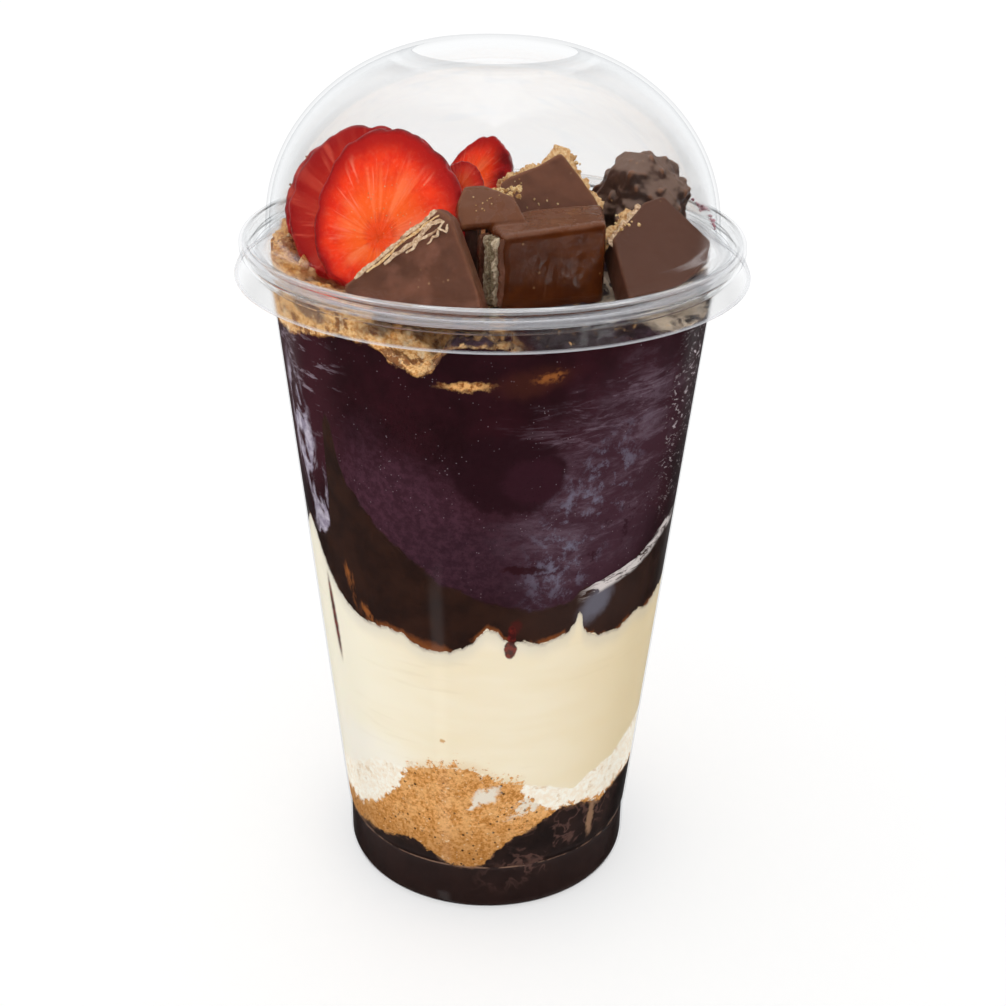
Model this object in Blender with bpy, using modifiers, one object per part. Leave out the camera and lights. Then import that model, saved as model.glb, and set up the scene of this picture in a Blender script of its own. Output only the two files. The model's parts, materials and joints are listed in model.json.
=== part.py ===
"""Acai cup: a clear tapered cup and a clear dome lid with an open top, filled in layers.

Units are metres and +Z is up.  The origin is the middle of the cup's foot.
Sizes below are in millimetres.  An azimuth is in degrees, 0 at the front (-Y) and 90 at +X.
A height over the cup's round is a base value and a few lobes (azimuth, half width, height).
"""
import math
import random

import bmesh
import bpy
from mathutils import Matrix, Vector, noise

MM = 0.001
MERGE = 0.00001

# Cup: a thin shell with a straight wall above a short foot ring.
CUP_WALL = 0.6
CUP_STEPS = 44
FOOT_R = 32.0
FOOT_H = 10.9
RECESS_R = 26.5
RECESS_H = 0.8
WALL_LOW = (32.6, 13.6)
WALL_HIGH = (44.9, 139.0)
RIM_R = 1.35

# Lid: a superellipse dome, a groove over the cup's rim, a low bead and a flared skirt.
LID_WALL = 0.7
DOME_R = 44.9
DOME_FOOT = 146.6
DOME_TOP = 181.96
DOME_ROUND = 2.28
DOME_RISE = 1.96
DOME_STEPS = 7
HOLE_R = 16.0
SKIRT_R = 51.5
SKIRT_Z = 137.6

# Filling: every layer follows the wall and keeps a small gap to it and to its neighbours.
FILL_STEPS = 54
FILL_GAP = 0.4
FILL_LOW = (31.1, 11.2)
FILL_HIGH = (44.0, 139.0)
FILL_MAX_R = 43.7
FILL_FLOOR = 1.5
THIN = 1.2
MOUND = 6.0
HEAP_FROM = 0.78
LUMPS = 22

# Toppings stand on the bed of crumbs, and are cut flat where they reach down into it.
BED_Z = 136.2
BLOCK_TOP = 152.0
SEAT_GAP = 0.6
CHOC_EDGE = 0.55
SLICE_STEPS = 24


def clear_scene():
    for item in list(bpy.data.objects):
        bpy.data.objects.remove(item, do_unlink=True)


def new_collection(name):
    group = bpy.data.collections.new(name)
    bpy.context.scene.collection.children.link(group)
    return group


def material(name, colour, roughness, alpha=1.0):
    look = bpy.data.materials.new(name)
    look.use_nodes = True
    shader = look.node_tree.nodes["Principled BSDF"]
    shader.inputs["Base Color"].default_value = (*colour, 1.0)
    shader.inputs["Roughness"].default_value = roughness
    shader.inputs["Metallic"].default_value = 0.0
    shader.inputs["Alpha"].default_value = alpha
    return look


def add_object(name, mesh, group, look=None):
    part = bpy.data.objects.new(name, mesh)
    group.objects.link(part)
    if look:
        mesh.materials.clear()
        mesh.materials.append(look)
    return part


def mesh_from(build, name):
    """Make a mesh from the bmesh that the function build fills."""
    work = bmesh.new()
    build(work)
    mesh = bpy.data.meshes.new(name)
    work.to_mesh(mesh)
    work.free()
    return mesh


def smooth(mesh, angle):
    mesh.shade_smooth()
    mesh.set_sharp_from_angle(angle=math.radians(angle))


def evaluated_mesh(part):
    bpy.context.view_layer.update()
    graph = bpy.context.evaluated_depsgraph_get()
    return bpy.data.meshes.new_from_object(part.evaluated_get(graph))


def turned(name, profile, steps, group, look=None, scale=MM):
    """Turn a profile of (radius, height) points, listed down its outer side, round the Z axis."""

    def chain(work):
        points = [work.verts.new((radius * scale, 0.0, height * scale)) for radius, height in profile]
        for upper, lower in zip(points, points[1:]):
            work.edges.new((upper, lower))

    part = add_object(name, mesh_from(chain, name), group, look)
    screw = part.modifiers.new("Turn", "SCREW")
    screw.axis = "Z"
    screw.steps = steps
    screw.render_steps = steps
    screw.use_merge_vertices = True
    screw.merge_threshold = MERGE
    return part


def thicken(part, wall):
    shell = part.modifiers.new("Wall", "SOLIDIFY")
    shell.thickness = wall * MM
    shell.offset = -1.0
    shell.use_even_offset = True
    shell.use_rim = True


def around(radius, azimuth, height):
    """The point at a radius, an azimuth and a height, in metres."""
    turn = math.radians(azimuth)
    return Vector((radius * math.sin(turn), -radius * math.cos(turn), height)) * MM


def lobes(azimuth, base, *bumps):
    """A height that rises and dips round the cup: each bump is (azimuth, half width, height)."""
    total = base
    for centre, width, height in bumps:
        away = (azimuth - centre + 180.0) % 360.0 - 180.0
        total += height * math.exp(-((away / width) ** 2))
    return total


def towards_middle(at_wall, in_middle, reach):
    """A layer's face eases from its height at the wall to one height in the cup's middle."""
    return in_middle + (at_wall - in_middle) * reach * reach


# ---------------------------------------------------------------- cup and lid

def dome_point(step):
    """Point on the dome's outside, step 0 at its foot and 1 at the hole's edge."""
    last = math.acos((HOLE_R / DOME_R) ** (DOME_ROUND / 2.0))
    angle = last * step
    radius = DOME_R * math.cos(angle) ** (2.0 / DOME_ROUND)
    height = DOME_FOOT + (DOME_TOP - DOME_FOOT) * math.sin(angle) ** (2.0 / DOME_RISE)
    return radius, height


def arc(centre, radius, start, end, steps):
    """Points of an arc in a profile, from the angle start to end in degrees."""
    points = []
    for step in range(steps + 1):
        angle = math.radians(start + (end - start) * step / steps)
        points.append((centre[0] + radius * math.cos(angle), centre[1] + radius * math.sin(angle)))
    return points


def make_cup(group, look):
    wall_r, wall_top = WALL_HIGH
    rim_centre = (wall_r + RIM_R, wall_top + RIM_R)
    rolled_rim = arc(rim_centre, RIM_R, -20.0, 180.0, 5)
    foot = [(FOOT_R, FOOT_H), (FOOT_R, 1.8), (FOOT_R - 0.3, 0.7), (FOOT_R - 1.4, 0.0)]
    underside = [(RECESS_R + 1.5, 0.0), (RECESS_R, RECESS_H), (0.0, RECESS_H)]
    profile = rolled_rim + [WALL_HIGH, WALL_LOW, (FOOT_R + 0.15, FOOT_H + 0.7)] + foot + underside
    cup = turned("cup", profile, CUP_STEPS, group, look)
    thicken(cup, CUP_WALL)


def make_lid(group, look):
    dome = [dome_point(1.0 - step / DOME_STEPS) for step in range(DOME_STEPS + 1)]
    groove = [(DOME_R + 0.3, 144.9), (DOME_R + 1.2, 143.7), (47.4, 143.5), (48.1, 144.4)]
    bead = arc((49.1, 143.9), 1.2, 125.0, 0.0, 3) + [(50.3, 142.6)]
    skirt = [(49.6, 141.5), (50.1, 140.5), (SKIRT_R, SKIRT_Z)]
    lid = turned("lid", dome + groove + bead + skirt, CUP_STEPS, group, look)
    thicken(lid, LID_WALL)


# ---------------------------------------------------------------- layers

def fill_radius(height):
    """Radius of the filling at a height, just inside the cup's wall."""
    slope = (FILL_HIGH[0] - FILL_LOW[0]) / (FILL_HIGH[1] - FILL_LOW[1])
    return min(FILL_LOW[0] + slope * (height - FILL_LOW[1]), FILL_MAX_R)


def cup_floor(azimuth, reach):
    return FILL_FLOOR


def base_top(azimuth, reach):
    at_wall = lobes(azimuth, 13.8, (-10, 12, -2.8), (-30, 6, 2.5), (42, 34, 11.5))
    return towards_middle(at_wall, 15.0, reach)


def crumble_top(azimuth, reach):
    at_wall = lobes(azimuth, 22.0, (-8, 22, 16.5), (20, 14, 6.0))
    return max(towards_middle(at_wall, 27.0, reach), base_top(azimuth, reach) + THIN)


def milk_top(azimuth, reach):
    at_wall = lobes(azimuth, 30.0, (-42, 16, 5.0), (60, 25, 5.5))
    return max(towards_middle(at_wall, 30.0, reach), crumble_top(azimuth, reach) + THIN)


def cream_top(azimuth, reach):
    left = lobes(azimuth, 0.0, (-68, 12, 12.0), (-16, 12, -2.8))
    at_wall = lobes(azimuth, 71.5 + left, (0, 4.5, 3.5), (28, 4, 4.5), (42, 10, -2.2))
    return towards_middle(at_wall, 72.0, reach)


def ganache_top(azimuth, reach):
    at_wall = lobes(azimuth, 86.0, (15, 26, -7.0), (-40, 12, 13), (-48.5, 4.5, 22))
    return max(towards_middle(at_wall, 84.0, reach), cream_top(azimuth, reach) + THIN)


def acai_top(azimuth, reach):
    at_wall = lobes(azimuth, 134.2, (-19.5, 9, -3.2), (-70, 20, -3.0), (150, 60, 1.5))
    return towards_middle(at_wall, 133.6, reach)


def crumb_top(azimuth, reach):
    """The crumbs are a low mound in the middle, and are heaped against the wall on the left."""
    mound = THIN + MOUND * (1.0 - reach * reach)
    at_edge = max(0.0, min(1.0, (reach - HEAP_FROM) / 0.16))
    heap = lobes(azimuth, 0.0, (-85, 50, 13.0)) * at_edge
    return acai_top(azimuth, reach) + mound + heap


def split_alike(mesh):
    """Split the faces by their shorter diagonal, so that two layers meet on like triangles."""
    work = bmesh.new()
    work.from_mesh(mesh)
    bmesh.ops.triangulate(work, faces=work.faces[:], quad_method="SHORT_EDGE")
    work.to_mesh(mesh)
    work.free()


def layer_mesh(name, low, high, rings=(0.6, 1.0)):
    """A drum between two height functions, mapped from a turned drum of unit size."""
    top = [(0.0, 1.0)] + [(ring, 1.0) for ring in rings]
    bottom = [(1.0, 0.0), (0.6, 0.0), (0.0, 0.0)]
    drum = turned(name, top + [(1.0, 0.5)] + bottom, FILL_STEPS, workshop, scale=1.0)
    mesh = evaluated_mesh(drum)
    bpy.data.objects.remove(drum, do_unlink=True)
    for vertex in mesh.vertices:
        reach = math.hypot(vertex.co.x, vertex.co.y)
        azimuth = math.degrees(math.atan2(vertex.co.x, -vertex.co.y))
        bottom_z = low(azimuth, reach) + FILL_GAP / 2.0
        top_z = high(azimuth, reach) - FILL_GAP / 2.0
        height = bottom_z + (top_z - bottom_z) * vertex.co.z
        vertex.co = around(reach * fill_radius(height), azimuth, height)
    split_alike(mesh)
    smooth(mesh, 50.0)
    return mesh


def make_layers(group, looks):
    heights = (cup_floor, base_top, crumble_top, milk_top, cream_top, ganache_top, acai_top)
    names = ("chocolate_base", "peanut_crumble", "milk_layer", "cream", "ganache", "acai")
    for name, low, high in zip(names, heights, heights[1:]):
        add_object(name, layer_mesh(name, low, high), group, looks[name])


# ---------------------------------------------------------------- toppings

def face_frame(place, turn, lean):
    """A face's frame: X to its right, Y up it, Z out of it, turned to +X and leaning back."""
    spin = Matrix.Rotation(math.radians(turn), 4, "Z")
    tip = Matrix.Rotation(math.radians(90.0 - lean), 4, "X")
    return Matrix.Translation(Vector(place) * MM) @ spin @ tip


def trim_below(work, height):
    """Cut the piece flat at a height, and close the cut."""
    bmesh.ops.bisect_plane(work, geom=work.verts[:] + work.edges[:] + work.faces[:], dist=MERGE,
                           plane_co=(0.0, 0.0, height * MM), plane_no=(0.0, 0.0, -1.0), clear_outer=True)
    open_edges = [edge for edge in work.edges if edge.is_boundary]
    if open_edges:
        bmesh.ops.holes_fill(work, edges=open_edges, sides=0)


def ease_edges(work, width):
    """Round a broken chocolate's edges with one small bevel."""
    sharp = [edge for edge in work.edges if edge.calc_face_angle(0.0) > math.radians(25.0)]
    bmesh.ops.bevel(work, geom=sharp, offset=width * MM, segments=1, affect="EDGES", clamp_overlap=True)


def chunk(name, outline, depth, frame, group, look, rest=BED_Z):
    """A broken piece: an outline on its shown face, as deep as stated, cut flat where it rests."""

    def build(work):
        face = work.faces.new([work.verts.new((x * MM, y * MM, 0.0)) for x, y in outline])
        back = bmesh.ops.extrude_face_region(work, geom=[face])
        moved = [item for item in back["geom"] if isinstance(item, bmesh.types.BMVert)]
        bmesh.ops.translate(work, verts=moved, vec=(0.0, 0.0, -depth * MM))
        work.transform(frame)
        trim_below(work, rest)
        ease_edges(work, CHOC_EDGE)
        bmesh.ops.recalc_face_normals(work, faces=work.faces[:])

    mesh = mesh_from(build, name)
    smooth(mesh, 30.0)
    return add_object(name, mesh, group, look)


def fruit_slice(name, size, thickness, frame, group, look, squash=0.0, shear=0.0):
    """A slice of fruit: a pill section turned to unit size, then drawn out to its outline."""
    section = [(0.0, 0.5), (0.72, 0.5), (0.95, 0.3), (1.0, 0.0), (0.95, -0.3), (0.72, -0.5), (0.0, -0.5)]
    disc = turned(name, section, SLICE_STEPS, workshop, scale=1.0)
    mesh = evaluated_mesh(disc)
    bpy.data.objects.remove(disc, do_unlink=True)
    width, height = size
    for vertex in mesh.vertices:
        angle = math.atan2(vertex.co.y, vertex.co.x)
        edge = 1.0 + 0.035 * math.cos(3.0 * angle + 0.6) + squash * math.cos(2.0 * angle - 0.9)
        x = vertex.co.x * edge * width
        y = vertex.co.y * edge * height
        vertex.co = Vector((x + shear * y, y, (vertex.co.z - 0.5) * thickness)) * MM

    def build(work):
        work.from_mesh(mesh)
        work.transform(frame)
        trim_below(work, BED_Z)
        bmesh.ops.recalc_face_normals(work, faces=work.faces[:])

    sliced = mesh_from(build, name)
    smooth(sliced, 60.0)
    return add_object(name, sliced, group, look)


def make_strawberries(group, look):
    lean = 28.0
    front = face_frame((-19.8, -17.6, 152.6), -10.0, lean)
    middle = face_frame((-24.4, -10.4, 153.4), -11.0, lean)
    back = face_frame((-26.0, -4.0, 153.0), -12.0, lean)
    quarter = face_frame((-4.6, 13.0, 151.4), -5.0, 25.0)
    return [
        fruit_slice("strawberry_front", (13.7, 14.4), 4.4, front, group, look),
        fruit_slice("strawberry_middle", (14.2, 14.7), 4.6, middle, group, look, 0.02),
        fruit_slice("strawberry_back", (13.6, 13.6), 3.6, back, group, look, 0.03),
        fruit_slice("strawberry_quarter", (6.4, 9.6), 7.0, quarter, group, look, 0.05, 0.18),
    ]


def make_chocolates(group, milk, dark):
    flat = 90.0
    block_face = face_frame((0.0, 0.0, BLOCK_TOP), 0.0, flat)
    sliver_face = face_frame((0.0, 0.0, BLOCK_TOP - 0.4), 0.0, flat)
    wedge_face = face_frame((-2.6, -37.0, 143.9), -14.0, 18.0)
    shard_face = face_frame((-2.4, -20.6, 154.6), 20.0, 50.0)
    back_face = face_frame((11.1, 0.0, 150.2), 8.0, 35.0)
    right_face = face_frame((27.9, -16.0, 146.8), 22.0, 48.0)
    block = ((2.0, -28.6), (20.8, -18.8), (21.1, -5.3), (7.5, -9.5), (-1.9, -19.0))
    sliver = ((-5.6, -20.4), (-2.4, -22.0), (-3.1, -18.0), (-2.2, -11.0), (-5.8, -11.4))
    wedge = ((-25.2, -1.0), (-23.0, 1.2), (-15.4, 7.8), (-8.8, 14.4), (-6.2, 12.8), (0.0, 0.0),
             (1.6, -6.0), (-24.0, -6.0))
    shard = ((-4.6, -3.5), (-4.6, -0.8), (-3.8, 2.2), (-1.6, 5.6), (2.2, 5.5), (7.4, 2.4), (8.4, -3.5))
    back = ((-10.2, -2.0), (-9.4, 4.7), (-7.3, 6.0), (-1.4, 8.3), (3.2, 10.8), (9.0, 1.8), (10.6, -2.0),
            (10.2, -9.0), (-10.0, -9.0))
    right = ((8.6, 9.8), (14.3, -0.4), (14.0, -3.3), (1.8, -8.3), (-4.9, -8.3), (-5.2, 2.2), (2.7, 8.6))
    return [
        chunk("choc_block_front", block, 18.0, block_face, group, milk),
        chunk("choc_sliver_dark", sliver, 18.0, sliver_face, group, dark),
        chunk("choc_wedge_left", wedge, 6.0, wedge_face, group, milk),
        chunk("choc_shard", shard, 3.0, shard_face, group, milk, BLOCK_TOP + 0.4),
        chunk("choc_block_back", back, 9.0, back_face, group, milk),
        chunk("choc_wedge_right", right, 5.0, right_face, group, milk),
        make_ball(group, dark),
    ]


def make_ball(group, look):
    """A rough round chocolate: a ball with crags."""
    centre = Vector((30.6, 12.0, 147.4)) * MM
    radius = 9.3
    crag = 0.9

    def build(work):
        bmesh.ops.create_icosphere(work, subdivisions=3, radius=1.0)
        for vertex in work.verts:
            lump = noise.noise(vertex.co * 2.3 + Vector((3.1, 0.7, 5.2)))
            vertex.co = centre + vertex.co * (radius + crag * 2.0 * lump) * MM
        trim_below(work, BED_Z)
        bmesh.ops.recalc_face_normals(work, faces=work.faces[:])

    mesh = mesh_from(build, "choc_ball")
    smooth(mesh, 60.0)
    return add_object("choc_ball", mesh, group, look)


# ---------------------------------------------------------------- crumbs

def boolean(part, group, operation):
    """Join a collection's objects to a part, or cut them out of it, and remove them."""
    step = part.modifiers.new("Bool", "BOOLEAN")
    step.operation = operation
    step.solver = "EXACT"
    step.operand_type = "COLLECTION"
    step.collection = group
    mesh = evaluated_mesh(part)
    part.modifiers.clear()
    part.data = mesh
    for item in list(group.objects):
        bpy.data.objects.remove(item, do_unlink=True)


def keep_main_body(mesh):
    """Drop loose scraps that a cut leaves."""
    work = bmesh.new()
    work.from_mesh(mesh)
    seen = set()
    bodies = []
    for start in work.verts:
        if start in seen:
            continue
        seen.add(start)
        body = [start]
        for vertex in body:
            for edge in vertex.link_edges:
                other = edge.other_vert(vertex)
                if other not in seen:
                    seen.add(other)
                    body.append(other)
        bodies.append(body)
    bodies.sort(key=len)
    for body in bodies[:-1]:
        bmesh.ops.delete(work, geom=body, context="VERTS")
    work.to_mesh(mesh)
    work.free()


def nugget(name, azimuth, radius, size, group):
    """One lump of the crumbs, sunk halfway into the heap."""
    reach = radius / fill_radius(BED_Z)
    height = crumb_top(azimuth, reach) + size * 0.25
    centre = around(radius, azimuth, height)

    def build(work):
        bmesh.ops.create_icosphere(work, subdivisions=1, radius=1.0)
        for vertex in work.verts:
            lump = noise.noise(vertex.co * 1.7 + Vector((azimuth, radius, size)))
            vertex.co = centre + vertex.co * size * (1.0 + 0.45 * lump) * MM

    return add_object(name, mesh_from(build, name), group)


def grown_copy(part, group, gap):
    """A copy of a topping, grown by the gap, to cut its seat in the crumbs."""

    def build(work):
        work.from_mesh(part.data)
        work.normal_update()
        moves = [(vertex, vertex.normal * gap * MM) for vertex in work.verts]
        for vertex, move in moves:
            vertex.co += move

    return add_object(part.name + "_seat", mesh_from(build, part.name), group)


def make_crumbs(group, look, toppings):
    mound = layer_mesh("crumb_topping", acai_top, crumb_top, (0.5, 0.8, 0.94, 1.0))
    bed = add_object("crumb_topping", mound, group, look)
    draw = random.Random(11)
    lumps = new_collection("crumb_lumps")
    for index in range(LUMPS):
        azimuth = -150.0 + 6.0 * index + draw.uniform(-2.0, 2.0)
        size = draw.uniform(1.7, 2.9)
        nugget(f"lump_{index}", azimuth, draw.uniform(37.5, 43.0 - size), size, lumps)
    boolean(bed, lumps, "UNION")
    seats = new_collection("topping_seats")
    for part in toppings:
        grown_copy(part, seats, SEAT_GAP)
    boolean(bed, seats, "DIFFERENCE")
    keep_main_body(bed.data)
    bed.data.materials.clear()
    bed.data.materials.append(look)
    for spare in (lumps, seats):
        bpy.data.collections.remove(spare)


clear_scene()
acai_cup = new_collection("acai_cup")
workshop = new_collection("workshop")

clear_plastic = material("clear_plastic", (0.93, 0.95, 0.96), 0.06, 0.25)
milk_chocolate = material("milk_chocolate", (0.14, 0.05, 0.022), 0.3)
dark_chocolate = material("dark_chocolate", (0.05, 0.022, 0.014), 0.35)
strawberry = material("strawberry", (0.72, 0.045, 0.02), 0.25)
crumb = material("crumb", (0.62, 0.33, 0.11), 0.8)
layer_looks = {
    "chocolate_base": material("chocolate_base", (0.035, 0.012, 0.009), 0.3),
    "peanut_crumble": material("peanut_crumble", (0.55, 0.26, 0.085), 0.7),
    "milk_layer": material("milk_layer", (0.84, 0.8, 0.72), 0.5),
    "cream": material("cream", (0.86, 0.76, 0.55), 0.4),
    "ganache": material("ganache", (0.028, 0.01, 0.006), 0.3),
    "acai": material("acai", (0.045, 0.012, 0.035), 0.35),
}

make_cup(acai_cup, clear_plastic)
make_lid(acai_cup, clear_plastic)
make_layers(acai_cup, layer_looks)
heap = make_strawberries(acai_cup, strawberry)
heap += make_chocolates(acai_cup, milk_chocolate, dark_chocolate)
make_crumbs(acai_cup, crumb, heap)
bpy.data.collections.remove(workshop)
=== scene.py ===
"""Looks of the acai cup: clear cup and lid, the layers against the wall, and the toppings.

Lengths are in millimetres and turned to metres by MM.  An azimuth is in degrees, 0 at the front
and 90 at the right.  An edge between two layers is a row of points of (azimuth, height) round the
wall, with a little noise.  A reach is a share of the way from the cup's axis, 0, to its wall, 1.
"""
import functools
import json
import math
import random

import bmesh
import bpy
from mathutils import Matrix, Vector, noise

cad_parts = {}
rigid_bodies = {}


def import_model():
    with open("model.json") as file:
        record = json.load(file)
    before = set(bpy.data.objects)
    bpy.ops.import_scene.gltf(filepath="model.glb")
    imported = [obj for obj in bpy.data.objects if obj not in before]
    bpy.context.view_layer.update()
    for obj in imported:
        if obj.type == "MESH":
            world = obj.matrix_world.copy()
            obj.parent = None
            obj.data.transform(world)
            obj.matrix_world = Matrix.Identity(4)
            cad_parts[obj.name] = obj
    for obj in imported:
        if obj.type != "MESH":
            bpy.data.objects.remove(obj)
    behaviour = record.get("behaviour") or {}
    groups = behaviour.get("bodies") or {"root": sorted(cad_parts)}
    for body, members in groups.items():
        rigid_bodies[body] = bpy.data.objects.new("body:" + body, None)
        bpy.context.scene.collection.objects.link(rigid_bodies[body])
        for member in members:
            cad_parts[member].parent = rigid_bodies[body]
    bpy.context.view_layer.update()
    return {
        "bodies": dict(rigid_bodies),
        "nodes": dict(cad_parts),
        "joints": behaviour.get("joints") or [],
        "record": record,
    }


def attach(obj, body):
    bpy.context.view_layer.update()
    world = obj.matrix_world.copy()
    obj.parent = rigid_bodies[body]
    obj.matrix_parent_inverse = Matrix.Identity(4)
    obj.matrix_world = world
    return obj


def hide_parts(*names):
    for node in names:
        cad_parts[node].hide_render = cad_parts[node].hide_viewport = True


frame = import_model()

MM = 0.001
BODY = "root"

# Cup and lid, as in the solids.
CUP_WALL = 0.6
FOOT_R = 32.0
FOOT_ROUND = 1.8
WALL_LOW = (32.6, 13.6)
WALL_HIGH = (44.9, 139.0)
RIM_R = 1.35
LID_WALL = 0.7
DOME_R = 44.9
DOME_FOOT = 146.6
DOME_TOP = 181.96
DOME_ROUND = 2.28
DOME_RISE = 1.96
HOLE_R = 16.0
TURNS = 192

# The filling reaches SUNK into the cup's wall.  Its layers have COLUMNS steps round the wall, and its
# edges' noise is laid out on a ring of the wall's middle radius.
SUNK = 0.35
COLUMNS = 720
MIDDLE_R = 38.0

# The toppings are cut flat here, within the crumbs.
BED_Z = 133.6
# Seeds in each of the two rows round a slice's peel.
SEEDS_ROUND = 13

# The plastic's tint, and the faint grey of its edges.
CLEAR = (0.972, 0.976, 0.979, 1.0)
EDGE_GREY = (0.88, 0.885, 0.89, 1.0)

# Light of the room, and how much brighter it is on the left than in its middle.
ROOM_LIGHT = 1.08
SIDE_LIGHT = 0.1


# ---------------------------------------------------------------- modelling helpers

def deselect():
    if bpy.context.object and bpy.context.object.mode == "EDIT":
        bpy.ops.object.mode_set(mode="OBJECT")
    bpy.ops.object.select_all(action="DESELECT")


def activate(part):
    deselect()
    part.select_set(True)
    bpy.context.view_layer.objects.active = part


def edit_all(part):
    """Open a piece for editing, with all of it selected."""
    activate(part)
    bpy.ops.object.mode_set(mode="EDIT")
    bpy.ops.mesh.select_all(action="SELECT")


def pick_edges(part, wanted):
    """In edit mode, select only the edges whose two ends the function accepts."""
    bpy.ops.object.mode_set(mode="OBJECT")
    bpy.ops.object.mode_set(mode="EDIT")
    bpy.ops.mesh.select_mode(type="EDGE")
    bpy.ops.mesh.select_all(action="DESELECT")
    work = bmesh.from_edit_mesh(part.data)
    for edge in work.edges:
        if wanted(edge.verts[0].co, edge.verts[1].co):
            edge.select_set(True)
    bmesh.update_edit_mesh(part.data)


def settle(part):
    """Put the piece's place into its mesh."""
    activate(part)
    bpy.ops.object.transform_apply(location=True, rotation=True, scale=True)


def draw_out(height):
    """Extrude what is selected upwards."""
    bpy.ops.mesh.extrude_region_move(TRANSFORM_OT_translate={"value": (0.0, 0.0, height * MM)})


def modify(part, kind, **values):
    """Add a modifier with the stated values, and apply it."""
    activate(part)
    step = part.modifiers.new(kind.title(), kind)
    for name, value in values.items():
        setattr(step, name, value)
    bpy.ops.object.modifier_apply(modifier=step.name)


def outward(part):
    edit_all(part)
    bpy.ops.mesh.remove_doubles(threshold=0.000002)
    bpy.ops.mesh.normals_make_consistent(inside=False)
    bpy.ops.object.mode_set(mode="OBJECT")


def smooth(part, angle=180.0):
    activate(part)
    if angle >= 180.0:
        bpy.ops.object.shade_smooth()
    else:
        bpy.ops.object.shade_smooth_by_angle(angle=math.radians(angle))


def dress(part, name, look, slot, *nodes):
    """Name a finished piece, give it its look, and let it ride and replace its nodes."""
    part.name = name
    part.data.name = name
    part.data.materials.clear()
    part.data.materials.append(look)
    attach(part, BODY)
    if nodes:
        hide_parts(*nodes)


def join(parts):
    """Join several objects into the first one."""
    deselect()
    for part in parts:
        part.select_set(True)
    bpy.context.view_layer.objects.active = parts[0]
    bpy.ops.object.join()
    return bpy.context.object


def around(radius, azimuth, height):
    """The point at a radius, an azimuth and a height, in metres."""
    turn = math.radians(azimuth)
    return Vector((radius * math.sin(turn), -radius * math.cos(turn), height)) * MM


def azimuth_of(point):
    return round(math.degrees(math.atan2(point.x, -point.y)), 3)


def hill(azimuth, centre, half_width):
    """1 at the centre's azimuth, falling to nothing a few half widths away."""
    away = (azimuth - centre + 180.0) % 360.0 - 180.0
    return math.exp(-((away / half_width) ** 2))


def rough(azimuth, seed, size, pitch):
    """A ragged edge: noise that closes round the cup, of a size and a pitch in millimetres."""
    turn = math.radians(azimuth)
    reach = MIDDLE_R / pitch
    point = Vector((math.sin(turn) * reach, math.cos(turn) * reach, seed))
    return size * noise.fractal(point, 0.8, 2.1, 5)


def towards_middle(wall_height, middle_height, reach):
    """A height that eases from its value at the wall to the one in the cup's middle."""
    return middle_height + (wall_height - middle_height) * reach * reach


# ---------------------------------------------------------------- material helpers

def colour(text):
    """A linear colour from a hex one."""
    values = [int(text[index:index + 2], 16) / 255.0 for index in (0, 2, 4)]
    return tuple(v / 12.92 if v < 0.04045 else ((v + 0.055) / 1.055) ** 2.4 for v in values) + (1.0,)


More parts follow.
